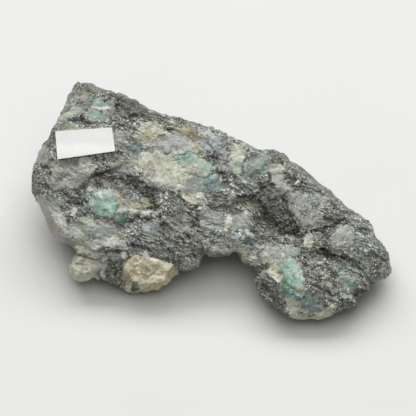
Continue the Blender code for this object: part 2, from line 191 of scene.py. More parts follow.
def soft_field(places, size, seed):
    """Smooth noise from -1 to 1 over features of this size."""
    shift = np.array([seed, 2.0 * seed, 3.0 * seed])
    return np.array([noise.noise(Vector(place)) for place in places / size + shift])


print("half way up the step", ease(0.5), "and soft noise", soft_field(np.ones((1, 3)), 2.0, 3.5).round(3))

# %% Chipped fields


def cell_field(places, size, seed):
    """Cells of this size: the centre and the level, from -0.5 to 0.5, of the cell of each point."""
    centres = np.array([noise.voronoi(Vector(spot))[1][0] for spot in places / size + seed])
    levels = np.array([noise.cell(Vector(centre) * 53.0) for centre in centres]) / 2.0
    return centres, levels


def chip_field(places, size, step, tilt, seed):
    """Height of small tilted planes, one to a cell."""
    centres, levels = cell_field(places, size, seed)
    turns = np.array([noise.cell_vector(Vector(centre) * 37.0) for centre in centres]) - 0.5
    leaning = np.sum(turns * (places / size + seed - centres), axis=1)
    return step * levels + 2.0 * tilt * size * leaning


print("a chipped field at the origin:", chip_field(np.zeros((1, 3)), 2.0, 0.2, 0.2, 3.5).round(3))

# %% [markdown]
# ## The minerals
# Mica schist isn't one colour. Quartz, feldspar and small beryls lie in it as patches with ragged,
# grainy borders. Pure noise would scatter them anywhere, so each has its place on the map: a large
# body is an outline and a small one an oval, with a mineral's name and a strength. The borders are
# bent by noise and snapped to grains, so no oval shows. A mineral has a colour and a share of
# mica, which later decides how much painted glint the surface shows. Some dark patches, along
# cracks, under ledges, in the valley and on the sloping rim, are painted shade.

# %% The palette of minerals


def shade(red, green, blue):
    """A colour as seen on a screen, 0 to 255, as the linear values that Blender works with."""
    seen = np.array([red, green, blue]) / 255.0
    return np.where(seen <= 0.04045, seen / 12.92, ((seen + 0.055) / 1.055) ** 2.4)


# mineral: colour, share of mica
MINERALS = {
    "mica": (shade(163, 166, 156), 1.0),
    "light mica": (shade(178, 180, 172), 0.9),
    "dark mica": (shade(122, 124, 113), 1.0),
    # black mica is partly real dark mica and partly painted shade in cracks, under ledges and in the
    # valley
    "black mica and shade": (shade(100, 100, 90), 0.95),
    "brown mica": (shade(120, 114, 100), 0.95),
    "grey quartz": (shade(144, 147, 141), 0.12),
    "dull rock": (shade(148, 148, 139), 0.1),
    # the sloping rim on the upper right, painted darker: partly micaceous rock, partly painted shade
    "shaded bevel": (shade(108, 107, 97), 0.5),
    "pale rock": (shade(168, 168, 158), 0.06),
    "smoky quartz": (shade(127, 131, 122), 0.12),
    "blue quartz": (shade(131, 139, 139), 0.14),
    "green quartz": (shade(150, 159, 141), 0.08),
    "pale quartz": (shade(170, 173, 163), 0.08),
    "knob quartz": (shade(197, 199, 178), 0.05),
    "tan": (shade(196, 188, 156), 0.05),
    "white": (shade(216, 217, 211), 0.03),
    "cream": (shade(188, 188, 166), 0.05),
    "yellow": (shade(176, 170, 130), 0.08),
    "olive": (shade(140, 135, 104), 0.3),
    "rust": (shade(154, 128, 97), 0.2),
    "mauve": (shade(150, 147, 147), 0.3),
    "mint": (shade(157, 190, 170), 0.05),
    "emerald": (shade(110, 157, 135), 0.05),
    "teal": (shade(113, 143, 136), 0.15),
    "dark green": (shade(78, 112, 91), 0.1),
}
print(len(MINERALS), "minerals")

# %% The map of the large fields
# mineral, outline on the map, strength
FIELDS = (
    ("smoky quartz", ((66, 97), (76, 93), (88, 97), (90, 106), (79, 112), (61, 113)), 0.8),
    ("green quartz", ((89, 97), (100, 94), (112, 97), (115, 105), (110, 112), (92, 108)), 0.6),
    ("green quartz", ((60, 111), (72, 108), (81, 112), (73, 118), (58, 118)), 0.5),
    ("green quartz", ((62, 121), (76, 123), (88, 128), (84, 131), (60, 132)), 0.45),
    ("dark mica", ((104, 93), (120, 93), (140, 103), (150, 112), (136, 117), (116, 110)), 0.9),
    ("cream", ((138, 124), (150, 121), (160, 126), (167, 132), (160, 137), (150, 138), (148, 147),
               (142, 148), (139, 141), (133, 140), (138, 133)), 0.85),
    ("grey quartz", ((152, 139), (162, 136), (168, 131), (180, 133), (190, 142), (198, 150),
                     (197, 157), (186, 151), (178, 153), (160, 152), (151, 150)), 0.95),
    ("pale quartz", ((198, 128), (214, 130), (222, 138), (212, 142), (202, 140)), 0.45),
    ("blue quartz", ((204, 139), (216, 138), (228, 143), (226, 151), (210, 151), (203, 147)), 0.75),
    ("blue quartz", ((124, 144), (138, 143), (150, 150), (148, 158), (136, 160), (126, 155)), 0.6),
    ("grey quartz", ((118, 158), (136, 160), (140, 168), (136, 176), (120, 170)), 0.5),
    ("cream", ((139, 160), (150, 155), (160, 153), (170, 153), (174, 163), (183, 163), (191, 168),
               (190, 176), (181, 178), (180, 184), (172, 181), (164, 175), (150, 175), (140, 170)), 0.95),
    ("cream", ((168, 177), (181, 178), (182, 186), (192, 190), (203, 191), (206, 198), (196, 201),
               (188, 196), (178, 188), (169, 183)), 0.85),
    ("olive", ((170, 148), (180, 148), (184, 156), (181, 164), (174, 162)), 0.45),
    ("dull rock", ((50, 160), (75, 160), (92, 170), (98, 177), (82, 190), (60, 192), (46, 186),
                   (44, 172)), 0.45),
    ("pale rock", ((33, 199), (48, 200), (60, 212), (67, 222), (71, 236), (67, 247), (54, 246), (46, 232),
                   (38, 214)), 1.0),
    ("smoky quartz", ((70, 222), (82, 217), (93, 218), (99, 226), (98, 238), (90, 247), (80, 252),
                      (68, 250), (64, 238)), 0.9),
    ("smoky quartz", ((97, 222), (110, 219), (122, 224), (122, 233), (110, 236), (99, 234)), 0.85),
    ("pale quartz", ((88, 240), (100, 238), (114, 235), (128, 240), (127, 249), (98, 251),
                     (86, 250)), 0.7),
    ("grey quartz", ((98, 256), (106, 257), (110, 268), (108, 283), (98, 278), (97, 264)), 0.6),
    ("grey quartz", ((143, 224), (152, 221), (160, 228), (157, 240), (146, 240)), 0.6),
    ("blue quartz", ((203, 213), (218, 210), (225, 218), (222, 230), (208, 232), (201, 224)), 0.5),
    ("grey quartz", ((231, 211), (246, 209), (254, 217), (250, 228), (236, 230), (228, 222)), 0.8),
    ("smoky quartz", ((248, 155), (262, 152), (270, 158), (272, 168), (266, 174), (252, 174)), 0.8),
    ("pale quartz", ((272, 168), (284, 164), (294, 174), (296, 188), (286, 193), (276, 185)), 0.7),
    ("light mica", ((224, 180), (242, 176), (262, 182), (264, 194), (246, 197), (226, 193)), 0.7),
    # these two dark mica fields lie in the valley and are partly painted shade of the recess
    ("dark mica", ((262, 184), (276, 184), (290, 198), (292, 214), (302, 230), (284, 232), (276, 214),
                   (268, 200)), 0.9),
    ("dark mica", ((254, 206), (276, 204), (286, 220), (296, 236), (272, 238), (256, 226)), 0.7),
    ("light mica", ((296, 188), (326, 192), (342, 204), (352, 216), (330, 212), (322, 200)), 0.4),
    ("pale quartz", ((206, 247), (222, 244), (240, 247), (254, 250), (260, 262), (246, 262), (238, 254),
                     (210, 257)), 0.4),
    ("grey quartz", ((214, 238), (226, 235), (252, 236), (258, 244), (240, 248), (218, 246)), 0.6),
    ("pale quartz", ((256, 247), (270, 243), (284, 246), (282, 255), (262, 256)), 0.4),
    ("cream", ((266, 267), (276, 263), (282, 267), (284, 277), (279, 282), (271, 277)), 0.95),
    ("dark green", ((281, 278), (292, 277), (299, 286), (297, 299), (286, 299), (281, 290)), 0.6),
    ("dark mica", ((254, 268), (266, 268), (280, 284), (282, 300), (290, 312), (276, 310),
                   (260, 296)), 0.8),
    # the sloping rim on the upper right, painted darker as shade
    ("shaded bevel", ((224, 130), (250, 137), (262, 144), (284, 151), (310, 171), (340, 195), (368, 219),
               (365, 223), (338, 201), (308, 178), (284, 159), (262, 149)), 0.8),
    ("cream", ((284, 312), (300, 311), (324, 313), (334, 309), (326, 322), (294, 322)), 0.8),
)
print(len(FIELDS), "fields")

# %% The map of the patches
# mineral, column, row, half length, half width, turn in degrees clockwise, strength
# thin black mica lines that follow the cracks are painted shade in them
PATCHES = (
    # upper left corner
    ("green quartz", 72, 104, 13, 9, -35, 0.35), ("cream", 66, 113, 6, 3, -30, 0.4),
    ("rust", 84, 95, 6, 3, 20, 0.6), ("dull rock", 78, 97, 9, 5, 0, 0.6),
    ("yellow", 66, 114, 4, 2, -20, 0.3), ("green quartz", 72, 125, 9, 4, 10, 0.7),
    ("yellow", 68, 127, 4, 2, 0, 0.5), ("teal", 101, 101, 14, 7, 5, 0.75), ("mint", 97, 99, 6, 3, 0, 0.5),
    ("cream", 94, 115, 10, 5, 5, 0.55), ("emerald", 95, 115, 7, 3, 10, 0.7),
    ("dark mica", 127, 104, 18, 9, 25, 0.95), ("black mica and shade", 124, 100, 10, 4, 25, 0.8),
    ("dark mica", 110, 97, 8, 6, 0, 0.8), ("dark mica", 84, 83, 24, 6, 14, 0.7),
    ("brown mica", 66, 82, 8, 6, 40, 0.5), ("olive", 119, 114, 10, 3, 5, 0.55),
    ("brown mica", 140, 112, 20, 5, 24, 0.6), ("light mica", 124, 127, 9, 6, 0, 0.6),
    ("white", 117, 100, 1.6, 1.2, 0, 1.0), ("black mica and shade", 80, 121, 11, 1.3, 18, 0.25),
    ("white", 101, 108, 11, 1.5, 12, 1.0), ("dark mica", 50, 140, 5, 12, 20, 0.5),
    ("light mica", 96, 121, 12, 3, 0, 0.3),
    # around the label and down the left side
    ("dull rock", 42, 158, 7, 12, 15, 0.6), ("brown mica", 40, 178, 10, 16, 10, 0.55),
    ("rust", 52, 165, 2, 2.5, 0, 0.5), ("dull rock", 70, 170, 20, 10, 5, 0.4),
    ("dark mica", 98, 177, 17, 4, -32, 0.8), ("grey quartz", 60, 182, 16, 8, 0, 0.4),
    ("cream", 85, 161, 7, 4, 15, 0.6), ("cream", 91, 167, 8, 4, 15, 0.45),
    ("light mica", 108, 160, 10, 6, 0, 0.5), ("mauve", 128, 146, 9, 10, 20, 0.4),
    ("mauve", 119, 138, 7, 9, 0, 0.55), ("teal", 133, 147, 8, 5, 10, 0.4),
    ("olive", 121, 160, 8, 2.2, -52, 0.6), ("pale quartz", 90, 185, 7, 5, 20, 0.6),
    ("white", 87, 189, 3, 1.8, 0, 0.9), ("dark mica", 66, 192, 12, 5, 0, 0.5),
    ("blue quartz", 55, 202, 7, 5, 10, 0.55), ("green quartz", 54, 202, 3, 2, 0, 0.6),
    ("dark mica", 78, 205, 12, 10, 0, 0.5), ("cream", 75, 212, 3.5, 4, 0, 0.65),
    ("pale rock", 48, 215, 11, 22, -30, 0.6), ("dull rock", 55, 222, 9, 18, -30, 0.3),
    ("rust", 56, 226, 5, 7, -20, 0.25),
    # the pocket of the left emerald; the black mica on the arch above it is partly painted shade under
    # the ledge, and the thin black line at row 219 is painted shadow under the pale slab
    ("black mica and shade", 108, 171, 13, 4, 0, 0.65), ("black mica and shade", 136, 178, 14, 3.5, 25, 0.6),
    ("black mica and shade", 145, 190, 8, 4, 40, 0.7), ("dark mica", 128, 184, 20, 10, 25, 0.3),
    ("olive", 105, 186, 4, 3, 0, 0.6), ("olive", 113, 192, 7, 3, 10, 0.8),
    # the olive band at column 137, row 203 is a painted shadow band
    ("blue quartz", 126, 210, 7, 6, 30, 0.6), ("olive", 137, 203, 15, 4, 0, 0.85),
    ("pale quartz", 140, 213, 16, 4.5, 0, 0.75), ("yellow", 120, 200, 4, 5, 0, 0.6),
    ("cream", 109, 215, 6, 3, 0, 0.6), ("light mica", 132, 195, 10, 5, 20, 0.5),
    ("black mica and shade", 152, 202, 5, 8, 0, 0.7), ("black mica and shade", 138, 219, 14, 1.8, 0, 0.8),
    # the feldspar swell and the upper middle
    ("cream", 152, 131, 16, 9, 15, 0.85), ("yellow", 146, 134, 7, 4, 0, 0.7),
    ("pale quartz", 147, 142, 12, 5, 0, 0.7), ("white", 145, 146, 4, 2, 0, 0.7),
    ("black mica and shade", 163, 135, 3, 1.6, -30, 0.8), ("grey quartz", 172, 145, 24, 10, 0, 0.85),
    ("olive", 188, 133, 13, 6, 12, 0.75), ("rust", 193, 138, 8, 4, 20, 0.5),
    ("yellow", 198, 146, 5, 5, 20, 0.6), ("pale quartz", 208, 134, 10, 4, 10, 0.55),
    ("blue quartz", 211, 143, 14, 6, 5, 0.7), ("teal", 135, 151, 14, 7, 10, 0.3),
    ("mauve", 160, 150, 9, 4, 0, 0.4), ("grey quartz", 122, 170, 12, 6, 20, 0.5),
    ("green quartz", 150, 160, 12, 6, 10, 0.6), ("cream", 152, 165, 17, 11, 10, 0.9),
    ("cream", 175, 172, 20, 13, 25, 0.9), ("green quartz", 178, 157, 9, 8, 0, 0.7),
    ("white", 185, 168, 5, 3, 10, 0.6), ("cream", 192, 192, 13, 9, 45, 0.85),
    ("yellow", 196, 190, 6, 4, 30, 0.5), ("white", 201, 196, 5, 3, 0, 0.55),
    ("mauve", 150, 178, 9, 7, 20, 0.5), ("pale quartz", 165, 183, 10, 6, 30, 0.5),
    ("light mica", 170, 200, 12, 9, 30, 0.5), ("mauve", 204, 202, 6, 4, 0, 0.5),
    # the middle, between the centre emerald and the valley
    ("emerald", 190, 160, 13, 9, 25, 0.5), ("mint", 206, 168, 12, 8, 30, 0.65),
    ("rust", 196, 168, 5, 2, 20, 0.5), ("teal", 205, 184, 17, 9, 5, 0.7),
    ("black mica and shade", 213, 156, 6, 4, 0, 0.85), ("mauve", 223, 155, 7, 6, 0, 0.6),
    ("mauve", 226, 166, 7, 5, 0, 0.6), ("black mica and shade", 214, 170, 8, 1.8, 0, 0.8),
    ("dark mica", 225, 174, 10, 3, 20, 0.5), ("light mica", 225, 137, 8, 4, 20, 0.6),
    ("pale quartz", 242, 150, 6, 9, 0, 0.5), ("teal", 257, 163, 12, 9, 10, 0.3),
    ("dark green", 263, 166, 5, 7, 0, 0.35), ("blue quartz", 250, 168, 9, 7, 0, 0.5),
    ("rust", 272, 168, 4, 8, 15, 0.45), ("pale quartz", 280, 176, 9, 13, -20, 0.75),
    ("mauve", 286, 190, 5, 4, 20, 0.6), ("light mica", 243, 188, 18, 9, 0, 0.6),
    ("cream", 240, 181, 4, 4, 0, 0.4), ("cream", 224, 190, 4, 3, 0, 0.4),
    ("teal", 246, 177, 10, 4, 0, 0.35), ("brown mica", 226, 200, 16, 7, 5, 0.7),
    ("black mica and shade", 248, 201, 15, 6, 5, 0.8), ("olive", 253, 205, 6, 4, 0, 0.6),
    # the valley; its black mica and dark mica are partly painted shade of the recess
    ("black mica and shade", 277, 193, 15, 3.0, 35, 0.75), ("black mica and shade", 287, 210, 3, 13, -15, 0.65),
    ("black mica and shade", 294, 226, 9, 4, 30, 0.45), ("dark mica", 272, 228, 22, 14, 10, 0.4),
    ("dark mica", 262, 213, 14, 9, 0, 0.25), ("black mica and shade", 288, 233, 18, 2, 12, 0.8),
    # lower middle
    ("blue quartz", 211, 221, 13, 9, 20, 0.4), ("rust", 206, 209, 3, 3, 0, 0.6),
    ("mauve", 207, 212, 6, 4, 0, 0.5), ("cream", 228, 223, 4, 9, 15, 0.9),
    ("white", 230, 219, 2.5, 4, 20, 0.7), ("pale quartz", 240, 216, 8, 4, 0, 0.5),
    ("cream", 244, 215, 6, 3, 0, 0.5), ("white", 250, 232, 4, 3, 0, 1.0),
    ("blue quartz", 245, 229, 8, 5, 0, 0.5), ("teal", 243, 242, 17, 5, 5, 0.5),
    ("dark mica", 247, 241, 10, 3, 5, 0.5), ("light mica", 222, 243, 12, 8, 10, 0.5),
    ("cream", 222, 251, 12, 3, 8, 0.6), ("yellow", 245, 253, 7, 5, 15, 0.55),
    ("cream", 236, 251, 9, 4, 0, 0.6), ("cream", 252, 262, 7, 4, 20, 0.5),
    ("olive", 262, 257, 8, 3, 10, 0.6), ("dark mica", 252, 254, 5, 3, 0, 0.7),
    ("light mica", 203, 240, 10, 10, 0, 0.5), ("dark mica", 180, 238, 30, 18, 10, 0.45),
    ("dark mica", 182, 216, 18, 12, 20, 0.35), ("blue quartz", 150, 229, 10, 8, 20, 0.5),
    ("grey quartz", 180, 222, 12, 9, 10, 0.55), ("blue quartz", 169, 244, 5, 4, 0, 0.6),
    ("black mica and shade", 138, 246, 5, 3, 0, 0.9), ("black mica and shade", 161, 220, 4, 9, 0, 0.6),
    ("white", 145, 254, 3, 2, 20, 1.0), ("white", 141, 221, 2, 1.2, 0, 0.9),
    ("dark mica", 165, 256, 18, 5, 15, 0.5),
    # lower left
    ("grey quartz", 100, 228, 18, 9, 10, 0.8), ("mauve", 108, 226, 11, 5, 10, 0.5),
    ("green quartz", 78, 234, 10, 12, 0, 0.6), ("green quartz", 88, 222, 10, 4, -20, 0.6),
    ("pale quartz", 90, 243, 12, 3, 5, 0.6), ("blue quartz", 88, 233, 8, 6, 0, 0.5),
    ("cream", 110, 242, 9, 4, 5, 0.6), ("white", 112, 241, 4, 2.4, 0, 0.7),
    ("cream", 78, 250, 10, 3.5, -10, 0.8), ("cream", 122, 236, 4, 5, 0, 0.5),
    ("cream", 92, 253, 9, 2.5, 10, 0.7), ("olive", 90, 258, 10, 2.4, 0, 0.6),
    ("light mica", 127, 233, 9, 12, 0, 0.6), ("dark mica", 115, 268, 8, 17, 12, 0.8),
    ("pale quartz", 102, 268, 4, 9, 0, 0.4), ("blue quartz", 117, 256, 9, 5, 10, 0.7),
    ("black mica and shade", 110, 250, 12, 2.5, 5, 0.6), ("white", 124, 255, 3, 4, 10, 0.7),
    ("dull rock", 190, 263, 12, 6, 0, 0.3), ("light mica", 190, 268, 12, 3, 0, 0.4),
    # the right part and the rim; the thin black lines along the fissure are painted shadow under its
    # upper side
    ("dark mica", 295, 180, 16, 7, 40, 0.6), ("black mica and shade", 277, 158, 10, 4, 35, 0.8),
    ("light mica", 262, 154, 12, 3, 10, 0.5), ("white", 297, 183, 1.8, 1.6, 0, 1.0),
    ("white", 221, 133, 2, 1.4, 20, 1.0), ("dark mica", 320, 190, 14, 5, 35, 0.4),
    ("blue quartz", 315, 184, 9, 4, 35, 0.4), ("pale quartz", 303, 200, 12, 7, 25, 0.4),
    ("cream", 322, 204, 3, 5, 30, 0.5), ("black mica and shade", 332, 221, 14, 8, 0, 0.6),
    ("cream", 318, 218, 5, 4, 0, 0.5), ("light mica", 350, 228, 12, 10, 0, 0.35),
    ("cream", 308, 241, 5.5, 6, 0, 0.85), ("light mica", 325, 245, 16, 8, 10, 0.5),
    ("light mica", 345, 248, 16, 8, 20, 0.4), ("black mica and shade", 325, 252, 16, 3.5, 18, 0.9),
    ("black mica and shade", 352, 262, 14, 2.2, 20, 0.7), ("light mica", 366, 240, 12, 14, 30, 0.3),
    ("teal", 360, 264, 8, 8, 20, 0.3), ("teal", 388, 270, 3, 4, 0, 0.5),
    ("emerald", 380, 278, 4, 2.5, 0, 0.45),
    # the lobe
    ("pale quartz", 268, 249, 12, 4, 0, 0.4), ("green quartz", 288, 251, 12, 5, 10, 0.4),
    ("white", 281, 255, 3, 4, 20, 0.6), ("cream", 270, 262, 12, 4, 10, 0.5),
    ("dark mica", 264, 280, 11, 18, -10, 0.75), ("black mica and shade", 265, 284, 6, 6, 0, 0.8),
    ("grey quartz", 262, 275, 5, 5, 0, 0.5), ("cream", 275, 272, 9, 7, 10, 0.95),
    ("rust", 279, 272, 3, 2, 0, 0.3), ("white", 278, 278, 5, 2.5, 10, 0.35),
    ("dark green", 288, 285, 9, 10, 30, 0.65), ("teal", 292, 292, 7, 9, 10, 0.6),
    ("emerald", 300, 278, 5, 9, 0, 0.5), ("yellow", 297, 286, 4, 4, 0, 0.5),
    ("cream", 293, 305, 6, 6, 0, 0.65), ("cream", 312, 315, 22, 4, 0, 0.8),
    ("yellow", 318, 316, 12, 3, 0, 0.4), ("dark mica", 283, 312, 8, 4, 20, 0.7),
    ("brown mica", 318, 285, 20, 8, 0, 0.25), ("dark mica", 318, 275, 16, 8, 0, 0.45),
    ("light mica", 325, 268, 16, 5, 0, 0.45), ("teal", 305, 292, 10, 4, 10, 0.4),
    ("teal", 342, 272, 9, 5, 0, 0.35), ("mint", 341, 275, 4, 4, 0, 0.5),
    ("cream", 326, 283, 6, 3, 0, 0.4), ("black mica and shade", 358, 291, 8, 4, 10, 0.9),
    ("pale quartz", 350, 296, 8, 3, 20, 0.7), ("dark mica", 350, 305, 10, 4, 0, 0.7),
    ("blue quartz", 354, 278, 6, 7, 0, 0.4), ("cream", 330, 308, 8, 3, -20, 0.5),
    ("dark mica", 335, 298, 14, 5, 10, 0.4),
)
print(len(PATCHES), "patches of mineral")

# %% Distances on the map


def line_distance(spots, line, closed=False):
    """Distance from places on the face to a line on the map, in millimetres."""
    stops = np.array([on_map(column, row) for column, row in line])
    if closed:
        stops = np.vstack([stops, stops[:1]])
    nearest = np.full(len(spots), 1e9)
    for start, end in zip(stops[:-1], stops[1:]):
        span = end - start
        share = np.clip((spots - start) @ span / (span @ span), 0.0, 1.0)
        nearest = np.minimum(nearest, np.linalg.norm(spots - start - share[:, None] * span, axis=1))
    return nearest


def inside_depth(spots, outline):
    """How deep places lie inside an outline on the map, in millimetres; less than 0 is outside."""
    stops = np.array([on_map(column, row) for column, row in outline])
    inside = np.zeros(len(spots), dtype=bool)
    for start, end in zip(stops, np.roll(stops, -1, axis=0)):
        crosses = (start[1] > spots[:, 1]) != (end[1] > spots[:, 1])
        rise = end[1] - start[1] if end[1] != start[1] else 1e-9
        edge = start[0] + (spots[:, 1] - start[1]) / rise * (end[0] - start[0])
        inside ^= crosses & (spots[:, 0] < edge)
    return np.where(inside, 1.0, -1.0) * line_distance(spots, outline, closed=True)


first_depth = inside_depth(np.array([on_map(74, 103)]), FIELDS[0][1])
print("column 74, row 103 lies", first_depth.round(1), "mm inside the first body")

# %% Minerals laid one over another


def blended(first, second, share):
    """Two values mixed, with this share of the second."""
    return first * (1.0 - share) + second * share


def lay_minerals(face, spots, ground, patches, fields):
    """Colours and mica shares of minerals laid one over another on a ground mineral."""
    mottle = 1.0 + 0.4 * soft_field(face, 1.4, 21.5)
    colours = np.tile(MINERALS[ground][0], (len(face), 1))
    shares = np.full(len(face), MINERALS[ground][1])
    layers = []
    for mineral, outline, strength in fields:
        layers.append((mineral, strength * ease(inside_depth(spots, outline) + 0.5)))
    for mineral, column, row, length, width, turn, strength in patches:
        angle = math.radians(turn)
        across = (spots - on_map(column, row)) / MAP_SQUARE
        along = across[:, 0] * math.cos(angle) - across[:, 1] * math.sin(angle)
        aside = across[:, 0] * math.sin(angle) + across[:, 1] * math.cos(angle)
        reach = np.hypot(along / length, aside / width)
        layers.append((mineral, strength * ease((1.2 - reach) / 0.35)))
    for mineral, weight in layers:
        weight = np.clip(weight * mottle, 0.0, 1.0)
        shares = blended(shares, MINERALS[mineral][1], ease(1.35 * weight))
        colours = blended(colours, MINERALS[mineral][0], weight[:, None])
    return colours, shares


print("half cream on mica:", blended(MINERALS["mica"][0], MINERALS["cream"][0], 0.5).round(2))

# %% Paint the minerals on a piece
BEHIND = 9.0                    # mm below the face at which the guessed back starts


def paint(piece, ground, patches, hidden, fields=(), grain=0.75, border=None, fleck=0.5):
    """Give each point the colour and the mica share of the minerals that lie on it.

    hidden is the mineral of the guessed back, border the share of schist that overgrows each
    point, and fleck the mica in scattered specks.
    """
    mesh = piece.data
    face = to_face(points_of(mesh))
    centres, levels = cell_field(face, grain, 5.5)
    drift = np.stack([soft_field(face, 3.2, seed) for seed in (1.3, 7.7)], axis=1)
    fine = np.stack([soft_field(face, 1.1, seed) for seed in (4.1, 9.2)], axis=1)
    grains = ((centres - 5.5) * grain)[:, :2]
    spots = 0.5 * face[:, :2] + 0.5 * grains + 0.9 * drift + 0.7 * fine
    colours, shares = lay_minerals(face, spots, ground, patches, fields)
    if border is not None:
        around, around_shares = lay_minerals(face, spots, "mica", PATCHES, FIELDS)
        overgrown = ease(border + 0.6 * soft_field(face, 1.0, 14.5) + 0.5 * levels)
        colours = blended(colours, around, overgrown[:, None])
        shares = blended(shares, around_shares, overgrown)
    behind = ease((-face[:, 2] - BEHIND) / 4.0)[:, None]
    colours = blended(colours, MINERALS[hidden][0], behind)
    shares = shares * (1.0 - 0.4 * behind[:, 0])
    flecks = ease((soft_field(face, 0.8, 33.5) - 0.36) / 0.2)
    shares = np.clip(shares + fleck * flecks, 0.0, 1.0)
    tone = 1.0 + (0.14 + 0.22 * shares) * levels + 0.14 * soft_field(face, 0.9, 12.5)
    keep_colours(mesh, "mineral", np.clip(colours * tone[:, None], 0.0, 1.0))
    keep_values(mesh, "mica_share", shares)
    return shares


# %% [markdown]
# ## The matrix
# The schist is one piece of rock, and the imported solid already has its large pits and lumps, with
# a socket for every crystal. In the real stone a crystal has grown in, with no gap around it, and
# an open socket would show as a dark ring. So copies of the set-in crystals are joined to the rock
# before the remesh, which closes their sockets. The front is divided once more afterwards, because
# that is the side that is seen from near.

# %% Skin of the matrix
SKIN = 0.62                     # mm
NOT_SET_IN = ("matrix", "quartz_knob", "feldspar_lump", "paper_label")
set_in = sorted(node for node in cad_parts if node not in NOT_SET_IN)
seats = [copy_node(node, node + "_seat") for node in set_in]
matrix = copy_node("matrix", "mica_matrix")
for seat in seats:
    seat.select_set(True)
bpy.ops.object.join()
remesh(matrix, SKIN)
print(len(seats), "sockets closed,", len(matrix.data.polygons), "squares")

# %% A finer front
pick(matrix)
middles = np.empty(len(matrix.data.polygons) * 3)
matrix.data.polygons.foreach_get("center", middles)
slopes = np.empty(len(matrix.data.polygons) * 3)
matrix.data.polygons.foreach_get("normal", slopes)
faces_front = slopes.reshape(-1, 3) @ FACE_AXES[2] > 0.25
front = faces_front & (to_face(middles.reshape(-1, 3))[:, 2] > -BEHIND)
bpy.ops.object.mode_set(mode="EDIT")
bpy.ops.mesh.select_mode(type="FACE")
bpy.ops.mesh.select_all(action="DESELECT")
bpy.ops.object.mode_set(mode="OBJECT")
matrix.data.polygons.foreach_set("select", front)
bpy.ops.object.mode_set(mode="EDIT")
bpy.ops.mesh.subdivide(number_cuts=1)
bpy.ops.mesh.quads_convert_to_tris(quad_method="BEAUTY", ngon_method="BEAUTY")
bpy.ops.object.mode_set(mode="OBJECT")
print("matrix skin", int(front.sum()), "squares in front,", len(matrix.data.polygons), "triangles")

# %% [markdown]
# ## The relief of the broken schist
# Schist breaks into ledges, splinters and small steps that follow its layers. Sculpting them one
# by one would take days, and a bump in the material would leave the rim smooth. Here the points
# themselves move: cell fields drawn out along the layers give the chips. What is not chance is
# drawn on the map: cracks, hollows that are filled or less deep than in the solid, and tugs that
# pull the rim to its broken outline.

# %% Cracks, fills, rises and tugs
# lines on the map, half width and depth in mm
CRACKS = (
    (((78, 198), (84, 187), (97, 175)), 0.2, 0.6),
    (((97, 175), (112, 171), (127, 176), (143, 185), (151, 197)), 0.55, 0.9),
    (((121, 176), (133, 186), (146, 197), (155, 208)), 0.45, 0.6),
    (((124, 213), (128, 219), (140, 218), (150, 220)), 0.5, 0.9),
    (((68, 119), (78, 121), (90, 125)), 0.45, 0.5),
    (((74, 96), (88, 92), (98, 95)), 0.4, 0.3),
    (((110, 100), (122, 97), (134, 101), (146, 110)), 0.6, 0.7),
    (((266, 186), (274, 193), (283, 199), (289, 205)), 0.8, 0.8),
    (((283, 199), (286, 209), (291, 219), (300, 229)), 0.8, 0.8),
    (((238, 197), (250, 197), (262, 195)), 0.6, 0.7),
    (((282, 231), (291, 233), (299, 234)), 0.6, 1.0),
    (((296, 228), (308, 231), (322, 231), (336, 225), (344, 221)), 0.5, 0.8),
    (((313, 246), (322, 252), (334, 258), (344, 259)), 0.7, 1.0),
    (((344, 259), (352, 263), (360, 269), (366, 277)), 0.5, 0.8),
    (((133, 246), (139, 248), (148, 250)), 0.5, 0.8),
    (((97, 250), (110, 251), (128, 252)), 0.5, 0.7),
    (((160, 205), (164, 216), (162, 230)), 0.4, 0.5),
    (((208, 170), (217, 170), (223, 176)), 0.5, 0.7),
    (((208, 156), (217, 157)), 0.6, 0.7),
    (((272, 153), (281, 160), (290, 166)), 0.6, 0.8),
    (((350, 287), (358, 292), (366, 292)), 0.7, 0.9),
    (((255, 272), (262, 282), (270, 292)), 0.5, 0.6),
    (((340, 300), (350, 303), (358, 302)), 0.5, 0.7),
    (((150, 196), (158, 214), (176, 226), (192, 240)), 0.4, 0.5),
    (((200, 204), (190, 214), (200, 226), (204, 240)), 0.4, 0.5),
)
# hollows filled up: outline on the map, and the level in mm that the surface at least gets to
FILLS = (
    (((76, 245), (100, 245), (128, 246), (128, 260), (120, 262), (102, 262), (92, 260), (77, 258)), 3.0),
    (((96, 256), (126, 256), (124, 270), (120, 282), (108, 281), (98, 275)), 2.5),
    (((126, 246), (140, 247), (182, 262), (181, 270), (160, 262), (128, 260)), 3.5),
    (((268, 186), (288, 200), (300, 222), (306, 236), (284, 238), (272, 216), (258, 200)), 0.0),
    (((284, 216), (297, 220), (306, 236), (290, 238)), 0.4),
)
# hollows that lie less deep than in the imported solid: outline on the map, and the rise in mm
RISES = (
    (((78, 198), (95, 178), (112, 172), (128, 176), (145, 186), (152, 200), (148, 214), (122, 221),
      (95, 219), (80, 212)), 1.0),
    (((334, 254), (348, 258), (362, 268), (350, 266)), 0.5),
)
